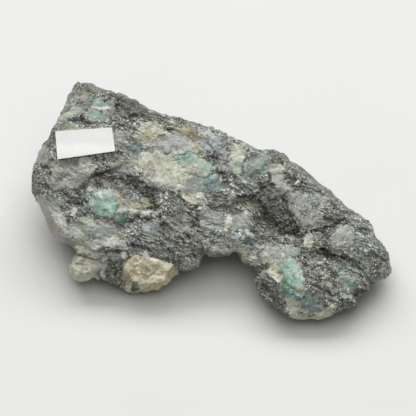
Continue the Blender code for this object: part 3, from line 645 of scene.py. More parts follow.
# tugs on the rim: column, row, squares to the right, squares down, reach in squares
TUGS = (
    (68, 97, -2.2, -1.0, 15), (58, 120, -2.0, -0.6, 15), (52, 131, -2.0, -0.8, 10),
    (81, 83, -0.5, -2.2, 15), (43, 145, -1.4, -0.6, 12), (32, 179, -2.4, 0.0, 22),
    (197, 122, 0.0, -1.6, 12), (222, 131, 0.0, 1.6, 11), (275, 150, 0.4, -2.0, 12),
    (291, 160, -0.9, 1.4, 13), (328, 189, 1.0, -1.6, 11), (371, 225, 2.2, -1.0, 13),
    (357, 298, -5.0, 0.0, 8), (349, 309, 0.0, -2.0, 11), (308, 320, 0.0, 4.6, 24),
    (289, 317, -0.5, 2.2, 12), (260, 294, -2.0, 0.8, 13), (254, 267, 2.6, -1.0, 6),
    (242, 263, -1.8, 2.2, 9), (236, 254, 0.4, -3.0, 8), (202, 258, 1.0, -4.6, 8), (198, 268, 1.8, 1.6, 9),
    (64, 244, 0.0, -0.8, 8), (71, 260, 2.4, 0.0, 8), (100, 279, 0.5, 2.6, 7), (172, 277, -2.2, -2.2, 9),
    (152, 290, 0.0, -1.6, 9), (126, 291, -0.8, 1.5, 8),
)
print(len(CRACKS), "cracks and", len(TUGS), "tugs")

# %% The layers of the schist
LAYER_TURN = math.radians(-32.0)     # the layers run down to the right
LAYER_STRETCH = 2.4


def along_layers(face, seed):
    """Face places turned to the schist's layers, drawn in along them and bent by soft noise."""
    bend = np.stack([soft_field(face, 13.0, seed + step) for step in (0.0, 3.1, 6.2)], axis=1)
    bent = face + 3.2 * bend
    turned = np.empty_like(bent)
    turned[:, 0] = bent[:, 0] * math.cos(LAYER_TURN) + bent[:, 1] * math.sin(LAYER_TURN)
    turned[:, 1] = bent[:, 1] * math.cos(LAYER_TURN) - bent[:, 0] * math.sin(LAYER_TURN)
    turned[:, 0] /= LAYER_STRETCH
    turned[:, 2] = bent[:, 2]
    return turned


print("1 mm along the layers counts as", round(1.0 / LAYER_STRETCH, 2), "mm")

# %% Tugs and the label's place
LABEL_CORNERS = ((-43.8, 19.9), (-27.9, 21.0), (-26.9, 14.3), (-43.1, 12.0))


def tugged(face):
    """How far the tugs on the rim move places in the face frame, to the right and up, in mm."""
    moves = np.zeros((len(face), 2))
    for column, row, right, down, reach in TUGS:
        gap = np.hypot(*(face[:, :2] - on_map(column, row)).T) / (reach * MAP_SQUARE)
        moves += np.outer(ease(1.0 - gap), (right * MAP_SQUARE, -down * MAP_SQUARE))
    return moves


def label_share(face):
    """1 under the paper label and its border, 0 away from it."""
    inside = np.full(len(face), 1e9)
    corners = np.array(LABEL_CORNERS)
    for start, end in zip(corners, np.roll(corners, -1, axis=0)):
        span = end - start
        offset = face[:, :2] - start
        depth = (offset[:, 1] * span[0] - offset[:, 0] * span[1]) / -np.hypot(*span)
        inside = np.minimum(inside, depth)
    return ease((inside + 0.9) / 0.6) * (face[:, 2] > -12.0)


pull = np.abs(tugged(to_face(points_of(matrix.data)))).max()
print("rim is tugged by up to", round(float(pull), 1), "mm")

# %% Break the surface
# size, step, tilt and seed of the layered chips, in mm
CHIPS = ((1.7, 0.48, 0.16, 3.3), (0.75, 0.34, 0.20, 8.8), (3.4, 0.55, 0.10, 17.7))
HIGHEST = 1.4                        # mm that a chip stands out at most


def roughen(piece, shares):
    """Break a piece's surface into the layered chips of schist, less where there is no mica."""
    mesh = piece.data
    places = points_of(mesh)
    normals = normals_of(mesh)
    face = to_face(places)
    layers = along_layers(face, 2.0)
    level = np.abs(normals @ FACE_AXES[2])
    keep = (0.2 + 0.8 * shares) * (0.5 + 0.5 * ease((level - 0.3) / 0.5))
    rise = np.zeros(len(face))
    for size, step, tilt, seed in CHIPS:
        rise += keep * chip_field(layers, size, step, tilt, seed)
    rise += (0.4 + 0.3 * shares) * 0.22 * soft_field(face, 2.4, 6.6)
    rise += 0.10 * soft_field(face, 0.8, 2.9)
    drift = np.stack([soft_field(face, 1.6, seed) for seed in (3.3, 5.9)], axis=1)
    spots = face[:, :2] + 1.1 * drift
    broken = np.clip(0.7 + 1.3 * soft_field(face, 1.9, 44.0), 0.1, 1.2)
    for line, width, depth in CRACKS:
        rise -= depth * broken * ease(1.25 - line_distance(spots, line) / width)
    back = ease((-face[:, 2] - 6.0) / 5.0)
    rise += back * (0.5 * soft_field(face, 6.0, 15.0) + chip_field(face, 3.2, 0.7, 0.16, 11.1))
    rise = np.minimum(rise, HIGHEST * (1.0 - 0.5 * back)) * (1.0 - label_share(face))
    foot = ease((places[:, 2] - cad_low[2]) / ((1.2 + 2.4 * back) * MM))
    upper = ease((face[:, 2] + 8.0) / 3.0)
    swell = np.zeros(len(face))
    for outline, height in RISES:
        swell += height * upper * ease(inside_depth(spots, outline) / 1.8 + 0.5)
    for outline, level in FILLS:
        share = upper * ease(inside_depth(spots, outline) / 1.2 + 0.5)
        swell += np.maximum(level - face[:, 2] - swell, 0.0) * share
    shift = np.column_stack([tugged(face), swell])
    move = normals * rise[:, None] + shift @ FACE_AXES
    move_points(mesh, places + move * foot[:, None] * MM)


matrix_shares = paint(matrix, "mica", PATCHES, "dark mica", FIELDS)
roughen(matrix, matrix_shares)
print("matrix relief done; mean mica share", round(float(matrix_shares.mean()), 2))

# %% [markdown]
# ## The schist's surface
# Mica splits into thin plates. Side by side, one plate mirrors the sky and shows white and the
# next one mirrors nothing and shows black, which is what makes schist sparkle. The shader paints
# that into the colour, with Voronoi cells drawn out along the layers: every cell gets its own
# painted tone, from near black to brighter than the mineral, and its own roughness and tilt, and
# the seams between larger cells are painted shade. The share of mica at each point decides how
# much of that shows, so quartz and feldspar stay calm.

# %% A new material and plain nodes


def new_material(name):
    """An empty material: its tree, its shader and the object coordinates."""
    material = bpy.data.materials.new(name)
    material.use_nodes = True
    tree = material.node_tree
    tree.nodes.clear()
    output = tree.nodes.new("ShaderNodeOutputMaterial")
    shader = tree.nodes.new("ShaderNodeBsdfPrincipled")
    tree.links.new(shader.outputs["BSDF"], output.inputs["Surface"])
    places = tree.nodes.new("ShaderNodeTexCoord").outputs["Object"]
    return material, tree, shader, places


def put(tree, socket, value):
    """Link an output to a socket, or set the socket to a plain value."""
    if isinstance(value, bpy.types.NodeSocket):
        tree.links.new(value, socket)
    else:
        socket.default_value = value


def maths(tree, operation, first, second, third=0.0):
    """One Math node."""
    step = tree.nodes.new("ShaderNodeMath")
    step.operation = operation
    for socket, value in zip(step.inputs, (first, second, third)):
        put(tree, socket, value)
    return step.outputs[0]


def vector_maths(tree, operation, first, second=(0.0, 0.0, 0.0), scale=1.0):
    """One Vector Math node."""
    step = tree.nodes.new("ShaderNodeVectorMath")
    step.operation = operation
    put(tree, step.inputs[0], first)
    if operation == "SCALE":
        step.inputs["Scale"].default_value = scale
    else:
        put(tree, step.inputs[1], second)
    return step.outputs["Value"] if operation == "DOT_PRODUCT" else step.outputs["Vector"]


# %% Coordinates, noise and cells


def mapped(tree, places, turn=(0.0, 0.0, 0.0), scale=(1.0, 1.0, 1.0)):
    """Coordinates scaled and turned by a Mapping node."""
    step = tree.nodes.new("ShaderNodeMapping")
    step.inputs["Rotation"].default_value = turn
    step.inputs["Scale"].default_value = scale
    tree.links.new(places, step.inputs["Vector"])
    return step.outputs["Vector"]


def noise_of(tree, places, size, detail, distortion=0.0):
    """Noise with features of this size in millimetres."""
    step = tree.nodes.new("ShaderNodeTexNoise")
    step.inputs["Scale"].default_value = 1000.0 / size
    step.inputs["Detail"].default_value = detail
    step.inputs["Distortion"].default_value = distortion
    tree.links.new(places, step.inputs["Vector"])
    return step


def cells_of(tree, places, size, feature="F1"):
    """Voronoi cells of this size in millimetres."""
    step = tree.nodes.new("ShaderNodeTexVoronoi")
    step.feature = feature
    step.inputs["Scale"].default_value = 1000.0 / size
    tree.links.new(places, step.inputs["Vector"])
    return step


# %% Ramps, mixes, attributes and bumps


def ramp(tree, value, stops):
    """A Color Ramp with these (place, colour) stops; a plain number is a grey."""
    step = tree.nodes.new("ShaderNodeValToRGB")
    bar = step.color_ramp
    while len(bar.elements) < len(stops):
        bar.elements.new(0.5)
    for element, (place, colour) in zip(bar.elements, stops):
        element.position = place
        element.color = (*colour, 1.0) if isinstance(colour, tuple) else (colour, colour, colour, 1.0)
    tree.links.new(value, step.inputs["Fac"])
    return step.outputs["Color"]


def mixed(tree, share, first, second, blend="MIX"):
    """Two colours mixed."""
    step = tree.nodes.new("ShaderNodeMix")
    step.data_type = "RGBA"
    step.blend_type = blend
    put(tree, step.inputs[0], share)
    put(tree, step.inputs[6], first)
    put(tree, step.inputs[7], second)
    return step.outputs[2]


def attribute(tree, name):
    """A piece's own attribute."""
    step = tree.nodes.new("ShaderNodeAttribute")
    step.attribute_name = name
    return step


def bump(tree, height, distance, strength, below=None):
    """A Bump node; distance in millimetres."""
    step = tree.nodes.new("ShaderNodeBump")
    step.inputs["Strength"].default_value = strength
    step.inputs["Distance"].default_value = distance * MM
    tree.links.new(height, step.inputs["Height"])
    if below is not None:
        tree.links.new(below, step.inputs["Normal"])
    return step.outputs["Normal"]


# %% Coordinates that follow the layers
PLATE_STRETCH = 1.45
# size, detail and reach in mm of the swirls, ripples and frays that bend the layers
BENDS = ((9.0, 1.5, 9.0), (1.6, 1.0, 1.1), (0.4, 1.0, 0.42))


def layer_places(tree, places):
    """Object coordinates turned to the layers, bent by noise and drawn out along them."""
    turned = mapped(tree, places, (-FACE_TURN, 0.0, -LAYER_TURN))
    bent = turned
    for size, detail, reach in BENDS:
        push = noise_of(tree, turned, size, detail).outputs["Color"]
        push = vector_maths(tree, "SUBTRACT", push, (0.5, 0.5, 0.5))
        push = vector_maths(tree, "SCALE", push, scale=reach * MM)
        bent = vector_maths(tree, "ADD", bent, push)
    return mapped(tree, bent, scale=(1.0 / PLATE_STRETCH, 1.0, 0.8))


def plate_tilt(tree, places, cells, amount):
    """Height of a cell's own tilted plate."""
    offset = vector_maths(tree, "SUBTRACT", places, cells.outputs["Position"])
    turn = vector_maths(tree, "SUBTRACT", cells.outputs["Color"], (0.5, 0.5, 0.5))
    height = vector_maths(tree, "DOT_PRODUCT", offset, turn)
    return maths(tree, "MULTIPLY", height, 1000.0 * amount)


print("the layers are bent", len(BENDS), "times, each time finer")

# %% Painted glints of the plates
PLATE = 0.34                         # mm
SPLINTER = 0.19
SEAM = 1.5


def painted_glints_of(tree, places):
    """Painted glint tone, with painted shade in the seams, and the mirror and height of small mica plates
    along the layers.
    """
    layers = layer_places(tree, places)
    plates = cells_of(tree, layers, PLATE)
    splinters = cells_of(tree, layers, SPLINTER)
    seams = cells_of(tree, layers, SEAM, "DISTANCE_TO_EDGE").outputs["Distance"]
    first = tree.nodes.new("ShaderNodeSeparateColor")
    tree.links.new(plates.outputs["Color"], first.inputs["Color"])
    second = tree.nodes.new("ShaderNodeSeparateColor")
    tree.links.new(splinters.outputs["Color"], second.inputs["Color"])
    tone = maths(tree, "MULTIPLY_ADD", first.outputs[0], 0.52,
                 maths(tree, "MULTIPLY", second.outputs[0], 0.48))
    # painted glints: each plate's tone stands in for the light it mirrors, from near black to brighter
    # than its mineral
    painted_glint_tone = ramp(tree, tone, ((0.16, 0.10), (0.36, 0.42), (0.55, 0.85), (0.72, 1.35), (0.84, 2.4)))
    # painted shade in the seams between the larger plates
    painted_seam_shade = ramp(tree, seams, ((0.0, 0.35), (0.14, 1.0)))
    painted_glint_tone = mixed(tree, 1.0, painted_glint_tone, painted_seam_shade, "MULTIPLY")
    mirror = maths(tree, "MULTIPLY_ADD", second.outputs[1], -0.35, 0.62)
    height = maths(tree, "ADD", plate_tilt(tree, layers, plates, 1.0),
                   plate_tilt(tree, layers, splinters, 0.7))
    return painted_glint_tone, mirror, height


print("about", round((MAP_SQUARE / SPLINTER) ** 2, 1), "splinters to a square of the map")

# %% Mica schist
schist, tree, shader, places = new_material("mica_schist")
painted_glints, mirror, plate_height = painted_glints_of(tree, places)
share = attribute(tree, "mica_share").outputs["Fac"]
stone = attribute(tree, "mineral").outputs["Color"]
grain = noise_of(tree, places, 0.7, 4.0).outputs["Fac"]
calm = ramp(tree, grain, ((0.3, 0.80), (0.5, 1.0), (0.7, 1.14)))
# the painted glints show where there is mica
skin = mixed(tree, share, calm, painted_glints)
warmth = noise_of(tree, places, 4.0, 3.0).outputs["Fac"]
tint = ramp(tree, warmth, ((0.3, (0.90, 0.95, 1.02)), (0.5, (1.0, 1.0, 1.0)), (0.7, (1.06, 1.04, 0.94))))
skin = mixed(tree, 1.0, mixed(tree, 1.0, stone, skin, "MULTIPLY"), tint, "MULTIPLY")
tree.links.new(skin, shader.inputs["Base Color"])
tree.links.new(mirror, shader.inputs["Roughness"])
shader.inputs["Specular IOR Level"].default_value = 0.9
rough = bump(tree, grain, 0.25, 0.5)
plate_height = maths(tree, "MULTIPLY", plate_height, share)
tree.links.new(bump(tree, plate_height, 1.0, 0.8, rough), shader.inputs["Normal"])
matrix.data.materials.append(schist)
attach(matrix, "root")
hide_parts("matrix")
print("mica schist:", len(tree.nodes), "nodes")

# %% [markdown]
# ## The crystals
# The crystals broke together with the rock, so most show only a low, chipped top with a ragged
# outline. The solid's straight walls would look like a stone laid on the rock. So each copy grows
# a little sideways and gets a low crown, deepest at its outline, where it dips under the schist,
# and the schist is pressed down under the crown. The knob of quartz and the lump of feldspar are
# free blocks: they are scraped flat on many sides, as broken stone is, and lean on the rock.
# Colour zones go on with the same map as the minerals of the matrix.

# %% The schist around a crystal


def rock_plane(face):
    """The plane through the schist's surface around a crystal: height at u = v = 0, and two slopes."""
    rock = to_face(points_of(matrix.data))
    low = face[:, :2].min(axis=0) - 1.8
    high = face[:, :2].max(axis=0) + 1.8
    near = np.all((rock[:, :2] > low) & (rock[:, :2] < high), axis=1)
    near &= rock[:, 2] > face[:, 2].max() - 4.5
    rock = rock[near]
    spots = face[::7, :2]
    gaps = np.array([np.min(np.hypot(*(spots - point).T)) for point in rock[:, :2]])
    rock = rock[(gaps > 0.35) & (gaps < 1.7)]
    table = np.column_stack([np.ones(len(rock)), rock[:, 0], rock[:, 1]])
    for _ in range(3):
        plane = np.linalg.lstsq(table, rock[:, 2], rcond=None)[0]
        kept = np.abs(table @ plane - rock[:, 2]) < 1.2
        rock, table = rock[kept], table[kept]
    return plane


# %% Scraped sides and the way in from the outline


def scrape(face, planes, seed):
    """Scrape a rounded piece flat on this many sides, as broken stone is."""
    middle = face.mean(axis=0)
    spin = np.random.default_rng(seed)
    for _ in range(planes):
        turn = spin.uniform(0.0, 2.0 * math.pi)
        lift = spin.uniform(-0.1, 1.2)
        facing = np.array([math.cos(turn), math.sin(turn), lift])
        facing /= np.linalg.norm(facing)
        reach = (face - middle) @ facing
        cut = np.quantile(reach, spin.uniform(0.94, 0.99))
        face = face - np.outer(np.maximum(reach - cut, 0.0), facing)
    return face


def tree_of(spots):
    """A search tree that finds the nearest of these places on the face."""
    tree = KDTree(len(spots))
    for index, spot in enumerate(spots):
        tree.insert((spot[0], spot[1], 0.0), index)
    tree.balance()
    return tree


def inwards_of(spots):
    """How far places on the face lie inside their common outline, in millimetres."""
    taken = {(int(column), int(row)) for column, row in np.floor(2.0 * spots)}
    around = {(column + a, row + b) for column, row in taken for a in (-1, 0, 1) for b in (-1, 0, 1)}
    empty = tree_of([((column + 0.5) / 2.0, (row + 0.5) / 2.0) for column, row in sorted(around - taken)])
    gaps = np.array([empty.find((spot[0], spot[1], 0.0))[2] for spot in spots])
    return np.maximum(gaps - 0.3, 0.0)


print("a lone place lies", inwards_of(np.array([[0.25, 0.25]])).round(2), "mm inside its outline")

# %% A low crown, and the schist pressed down under it
BESIDE = 0.9                         # mm round a crystal in which the schist is pressed down
COVER = 0.30                         # mm that a crown clears the schist, and the schist its border


def settle(face, top, inwards, stands, slope):
    """Give a crystal a low crown: buried at its outline and this high in its middle, in mm."""
    height, along_u, along_v = rock_plane(face)
    ground = height + along_u * face[:, 0] + along_v * face[:, 1]
    proud = face[:, 2] - ground
    bury = 0.2 + 0.35 * stands
    crown = stands - (stands + bury) * np.exp(-inwards / slope)
    face = face.copy()
    face[:, 2] = ground + np.where(top, crown, np.minimum(proud, -bury))
    return face, np.where(top, crown, -bury)


def press_rock(face, crown):
    """Press the schist down under a crystal, so that it's covered inside and ragged at the outline."""
    height, along_u, along_v = rock_plane(face)
    tree = tree_of(face)
    rock = to_face(points_of(matrix.data))
    low = face.min(axis=0) - BESIDE
    high = face.max(axis=0) + BESIDE
    near = np.all((rock[:, :2] > low[:2]) & (rock[:, :2] < high[:2]), axis=1)
    near &= rock[:, 2] > low[2] - 2.0
    for index in np.flatnonzero(near):
        spot = rock[index]
        _, nearest, gap = tree.find((spot[0], spot[1], 0.0))
        if gap < BESIDE:
            ground = height + along_u * spot[0] + along_v * spot[1]
            depth = ease((crown[nearest] + 0.25) / 0.25)
            limit = ground + COVER * (1.0 - depth) + (crown[nearest] - COVER) * depth
            rock[index, 2] = min(spot[2], limit)
    move_points(matrix.data, to_world(rock))


# %% One crystal
CRYSTAL_SKIN = 0.25                  # mm
CHIP = 2.2


def crystal(node, ground, zones, stands=0.15, grow=0.8, step=0.12, slope=1.0, ragged=0.7,
            planes=0, leans=(0.0, 0.0)):
    """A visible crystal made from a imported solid: a low crown, or a block that is only scraped.

    In millimetres: stands is the crown's height, or None for a free block, grow how far it grows
    sideways, step the height of its chips, slope the width of the crown's edge, ragged the unrest
    of its outline and leans how far it leans on the rock, to the right and up. planes is the
    number of scraped sides.
    """
    piece = copy_node(node, node + "_crystal")
    remesh(piece, CRYSTAL_SKIN)
    mesh = piece.data
    places = points_of(mesh)
    normals = normals_of(mesh)
    seed = len(node)
    level = normals @ FACE_AXES[2]
    aside = (normals - np.outer(level, FACE_AXES[2])) @ FACE_AXES.T
    face = to_face(places)
    inwards = inwards_of(face[:, :2])
    top = (level >= 0.4) | ((level > 0.0) & (inwards > 0.3))
    inwards += grow * (1.0 - np.linalg.norm(aside, axis=1))
    inwards += ragged * (soft_field(face, 2.2, seed) + 0.6 * soft_field(face, 1.0, seed + 7.0))
    inwards = np.maximum(inwards, 0.0)
    face += aside * (grow + chip_field(face, 2.4, 0.7, 0.10, seed + 5.0))[:, None]
    border = None
    if stands is not None:
        face, crown = settle(face, top, inwards, stands, slope)
        press_rock(face[top], crown[top])
        border = 1.2 - 1.6 * inwards / (grow + slope)
    face = scrape(face, planes, seed)
    face += aside * np.maximum(aside[:, :2] @ leans, 0.0)[:, None]
    rise = chip_field(face, CHIP, step, 0.6 * step, seed)
    rise += chip_field(face, 0.42 * CHIP, 0.6 * step, 0.5 * step, seed + 3.0)
    rise += 0.05 * soft_field(face, 1.2, seed)
    face += (normals @ FACE_AXES.T) * rise[:, None]
    face[:, :2] += tugged(face)
    foot = ease((places[:, 2] - cad_low[2]) / (1.0 * MM))
    move_points(mesh, places + (to_world(face) - places) * foot[:, None])
    paint(piece, ground, zones, ground, grain=0.5, border=border, fleck=0.15)
    mesh.shade_smooth()
    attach(piece, "root")
    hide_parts(node)
    return piece


print("crystals are chipped every", CHIP, "mm and every", round(0.42 * CHIP, 1), "mm")

# %% [markdown]
# ## Cloudy stones
# The emeralds and beryls are cloudy and full of small cracks, the feldspar is dull and blocky, and
# the quartz is grey and greasy. Clear glass would show the hidden socket under each crystal, and
# plain paint would look like plastic. So the shader lets in a little light (some transmission and
# some subsurface) under pale veils, dark specks and fine cracks, with a thin coat for the sheen.

# %% The material of a stone


def stone_material(name, roughness, soft, clear, veil, veil_size, gloss):
    """A cloudy stone: its own colour, pale veils, dark specks, fine cracks, the painted glints of mica
    where schist overgrows it, and a broken surface.
    """
    material, tree, shader, places = new_material(name)
    stone = attribute(tree, "mineral").outputs["Color"]
    clouds = noise_of(tree, places, veil_size, 5.0, 0.6).outputs["Fac"]
    milky = ramp(tree, clouds, ((0.52, 0.0), (0.68, veil)))
    cracks = cells_of(tree, places, veil_size * 1.1, "DISTANCE_TO_EDGE").outputs["Distance"]
    crack_line = ramp(tree, cracks, ((0.0, 0.55), (0.04, 0.0)))
    depth = ramp(tree, noise_of(tree, places, 1.3, 3.0).outputs["Fac"], ((0.3, 0.70), (0.6, 1.12)))
    colour = mixed(tree, 1.0, stone, depth, "MULTIPLY")
    colour = mixed(tree, milky, colour, (0.78, 0.82, 0.78, 1.0))
    lighter = mixed(tree, 0.5, colour, (0.85, 0.88, 0.84, 1.0))
    colour = mixed(tree, crack_line, colour, lighter)
    specks = noise_of(tree, places, 0.45, 2.0).outputs["Fac"]
    speck = ramp(tree, specks, ((0.66, 0.0), (0.74, 0.7)))
    colour = mixed(tree, speck, colour, (0.07, 0.075, 0.07, 1.0))
    share = attribute(tree, "mica_share").outputs["Fac"]
    # where schist overgrows a crystal, the painted glints of its mica show on the crystal's colour
    painted_glints, mirror, plate_height = painted_glints_of(tree, places)
    colour_with_painted_glints = mixed(tree, 1.0, colour, painted_glints, "MULTIPLY")
    colour = mixed(tree, share, colour, colour_with_painted_glints)
    tree.links.new(colour, shader.inputs["Base Color"])
    dull = noise_of(tree, places, 0.9, 3.0).outputs["Fac"]
    tree.links.new(maths(tree, "MULTIPLY_ADD", dull, 0.35, roughness - 0.17), shader.inputs["Roughness"])
    shader.inputs["Subsurface Weight"].default_value = soft
    shader.inputs["Subsurface Scale"].default_value = 1.5 * MM
    shader.inputs["Subsurface Radius"].default_value = (0.8, 1.0, 0.9)
    shader.inputs["Transmission Weight"].default_value = clear
    shader.inputs["IOR"].default_value = 1.57
    shader.inputs["Coat Weight"].default_value = gloss
    shader.inputs["Coat Roughness"].default_value = 0.25
    facets = cells_of(tree, places, 1.5)
    broken = plate_tilt(tree, places, facets, 0.16)
    fine = bump(tree, specks, 0.10, 0.4)
    broken = bump(tree, broken, 1.0, 0.6, fine)
    plate_height = maths(tree, "MULTIPLY", plate_height, share)
    tree.links.new(bump(tree, plate_height, 1.0, 0.6, broken), shader.inputs["Normal"])
    return material


beryl = stone_material("cloudy_beryl", roughness=0.32, soft=0.25, clear=0.12, veil=0.35,
                       veil_size=1.8, gloss=0.35)
quartz = stone_material("grey_quartz", roughness=0.36, soft=0.2, clear=0.12, veil=0.4,
                        veil_size=2.4, gloss=0.25)
feldspar = stone_material("feldspar", roughness=0.5, soft=0.15, clear=0.0, veil=0.5,
                          veil_size=2.0, gloss=0.1)
print("cloudy stones:", beryl.name, quartz.name, feldspar.name)

# %% Every crystal and its colour zones
# node: stone, ground mineral, zones as on the map of the patches
CRYSTALS = {
    "emerald_left": (beryl, "emerald", (
        ("teal", 96, 203, 6, 9, 0, 0.6), ("teal", 105, 198, 11, 5, 0, 0.9),
        ("mint", 106, 206, 6, 4, 0, 0.5), ("emerald", 101, 211, 7, 5, 0, 0.5),
        ("white", 101, 195, 1.6, 2.2, 0, 0.7), ("mint", 110, 208, 3, 3, 0, 0.8),
        ("olive", 119, 200, 3, 5, 0, 0.8), ("cream", 108, 216, 5, 2.5, 0, 0.7),
        ("olive", 116, 195, 4, 2, 0, 0.5))),
    "emerald_left_small": (beryl, "dark green", (("teal", 116, 210, 3, 3, 0, 0.4),)),
    "emerald_centre": (beryl, "cream", (
        ("emerald", 189, 157, 8, 6, 25, 0.85), ("dark green", 184, 157, 3, 3, 0, 0.45),
        ("mint", 193, 154, 4, 3, 30, 0.6), ("mint", 205, 164, 8, 5, 15, 0.85),
        ("emerald", 206, 169, 5, 5, 30, 0.5), ("mint", 212, 170, 5, 3, 0, 0.6),
        ("rust", 196, 168, 6, 1.6, 20, 0.6), ("cream", 187, 168, 6, 3, 10, 0.7),
        ("teal", 198, 175, 5, 3, 0, 0.7))),
    "beryl_centre": (beryl, "blue quartz", (
        ("grey quartz", 192, 183, 8, 5, 0, 0.7), ("teal", 211, 182, 8, 7, 0, 0.85),
        ("mint", 203, 181, 3, 4, 0, 0.6), ("pale quartz", 198, 190, 7, 3, 10, 0.7),
        ("mint", 213, 176, 5, 1.5, -10, 0.5))),
    "beryl_pale": (beryl, "cream", (
        ("pale quartz", 235, 151, 5, 4, 0, 0.4), ("emerald", 238, 167, 5, 6, 0, 0.6),
        ("mint", 239, 171, 4, 3, 0, 0.6))),
    "emerald_top": (beryl, "teal", (
        ("grey quartz", 98, 110, 16, 12, 0, 0.45), ("emerald", 102, 102, 7, 4, 0, 0.6),
        ("mint", 98, 98, 6, 2.5, 0, 0.4), ("white", 101, 108, 11, 1.8, 12, 1.0),
        ("dark mica", 104, 112, 8, 1.5, 10, 0.6), ("dark green", 108, 104, 4, 5, 0, 0.5),
        ("emerald", 95, 115, 6, 3, 10, 0.6))),
    # the two white strips are painted facet highlights
    "emerald_lobe": (beryl, "mint", (
        ("emerald", 284, 266, 6, 7, 0, 0.8), ("emerald", 290, 280, 6, 7, 20, 0.5),
        ("white", 294, 272, 3, 5, -10, 0.4), ("yellow", 299, 286, 4, 4, 0, 0.6),
        ("white", 300, 276, 1.5, 6, 0, 0.5))),
    "beryl_bluish": (beryl, "blue quartz", (
        ("teal", 309, 300, 10, 7, 0, 0.7), ("grey quartz", 314, 306, 6, 4, 0, 0.3),
        ("cream", 303, 311, 7, 2.5, 0, 0.5))),
    # the white patch on its lower facet is a painted highlight
    "emerald_small": (beryl, "dark green", (
        ("emerald", 351, 281, 3, 3, 0, 0.5), ("mint", 344, 287, 3, 3, 0, 0.4),
        ("white", 348, 292, 5, 2.6, 10, 0.8))),
    "beryl_lens": (quartz, "grey quartz", (
        ("pale quartz", 270, 250, 8, 3, 0, 0.5), ("green quartz", 290, 251, 12, 6, 0, 0.9),
        ("emerald", 290, 251, 9, 3, 0, 0.4), ("olive", 267, 256, 7, 2, 0, 0.6),
        ("white", 281, 255, 2.5, 4, 0, 0.8))),
    "beryl_grain": (quartz, "green quartz", (
        ("pale quartz", 340, 230, 7, 4, 0, 0.3), ("grey quartz", 344, 240, 8, 5, 0, 0.4))),
    # the thin cream line on its lower right edge is a painted highlight where the edge catches the light
    "quartz_block": (quartz, "grey quartz", (
        ("pale quartz", 300, 208, 7, 9, 30, 0.5), ("light mica", 308, 206, 12, 8, 0, 0.25),
        ("cream", 319, 215, 2.6, 12, 32, 0.9), ("white", 312, 203, 7, 2, 20, 0.4),
        ("dull rock", 305, 222, 7, 5, 0, 0.5))),
    "feldspar_patch": (feldspar, "cream", (
        ("green quartz", 160, 157, 12, 4, 0, 0.7), ("mauve", 149, 169, 6, 9, 20, 0.6),
        ("cream", 143, 162, 3, 6, 10, 0.8), ("white", 160, 169, 3, 4, 0, 0.4),
        ("white", 174, 172, 5, 5, 30, 0.25), ("pale quartz", 166, 176, 6, 4, 20, 0.5))),
    "quartz_knob": (quartz, "knob quartz", (
        ("cream", 82, 253, 14, 4, -10, 0.9), ("yellow", 76, 270, 7, 8, 0, 0.3),
        ("rust", 92, 259, 9, 2.5, 0, 0.6), ("olive", 86, 262, 12, 3, 0, 0.4),
        ("pale quartz", 101, 272, 8, 8, 0, 0.7), ("blue quartz", 103, 264, 6, 5, 0, 0.5),
        ("cream", 70, 262, 4, 6, 0, 0.5))),
    "feldspar_lump": (feldspar, "tan", (
        ("yellow", 140, 258, 8, 6, 0, 0.6), ("olive", 157, 268, 5, 3, 0, 0.5),
        ("olive", 128, 276, 7, 8, 20, 0.65), ("white", 163, 264, 14, 1.6, 20, 0.3),
        ("yellow", 156, 284, 12, 5, -10, 0.6), ("black mica and shade", 134, 287, 3.5, 4, 0, 0.9),
        ("rust", 133, 270, 7, 3, 40, 0.4), ("yellow", 172, 272, 6, 6, 0, 0.7),
        ("rust", 145, 278, 10, 2, 60, 0.3), ("olive", 146, 270, 6, 3, 30, 0.6),
        ("dark mica", 124, 285, 3, 5, 0, 0.4))),
}
print(len(CRYSTALS), "crystals, with", sum(len(stone[2]) for stone in CRYSTALS.values()), "zones")

# %% Make the crystals
# only what differs from the low, flush crown of the others
SHAPES = {
    "quartz_knob": {"stands": None, "grow": 0.1, "planes": 14, "leans": (3.0, 1.8)},
    "feldspar_lump": {"stands": None, "grow": 0.1, "step": 0.24, "planes": 16, "leans": (-1.4, 2.0)},
    "emerald_left": {"stands": 0.9, "grow": 1.0, "step": 0.07, "slope": 0.9, "ragged": 0.3},
    "emerald_left_small": {"stands": 0.9, "grow": 1.1, "step": 0.10, "slope": 0.9, "ragged": 0.3},
    "emerald_lobe": {"stands": 0.55, "grow": 1.0, "step": 0.08, "slope": 0.9, "ragged": 0.3},
    "emerald_small": {"stands": 0.6, "grow": 1.1, "step": 0.10, "slope": 0.9, "ragged": 0.3},
    "quartz_block": {"stands": 0.45, "grow": 0.9, "slope": 0.9, "ragged": 0.35},
    "beryl_grain": {"stands": 0.35, "grow": 1.0, "step": 0.10, "slope": 0.9, "ragged": 0.3},
}
for node, (finish, ground, zones) in CRYSTALS.items():
    stone = crystal(node, ground, zones, **SHAPES.get(node, {}))
    stone.data.materials.append(finish)
    print(node, len(stone.data.polygons), "squares")

# %% [markdown]
# ## The paper label
# A small blank sticker, cut a little askew and pressed on by hand. Paper isn't quite flat: it
# sags between the high points of the rock, and its lower edge has come loose and throws a thin
# shadow. A cloth simulation would be too much for so small a sheet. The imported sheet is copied,
# divided into a fine grid and bent by soft noise, and its cut edges get a little fibre.

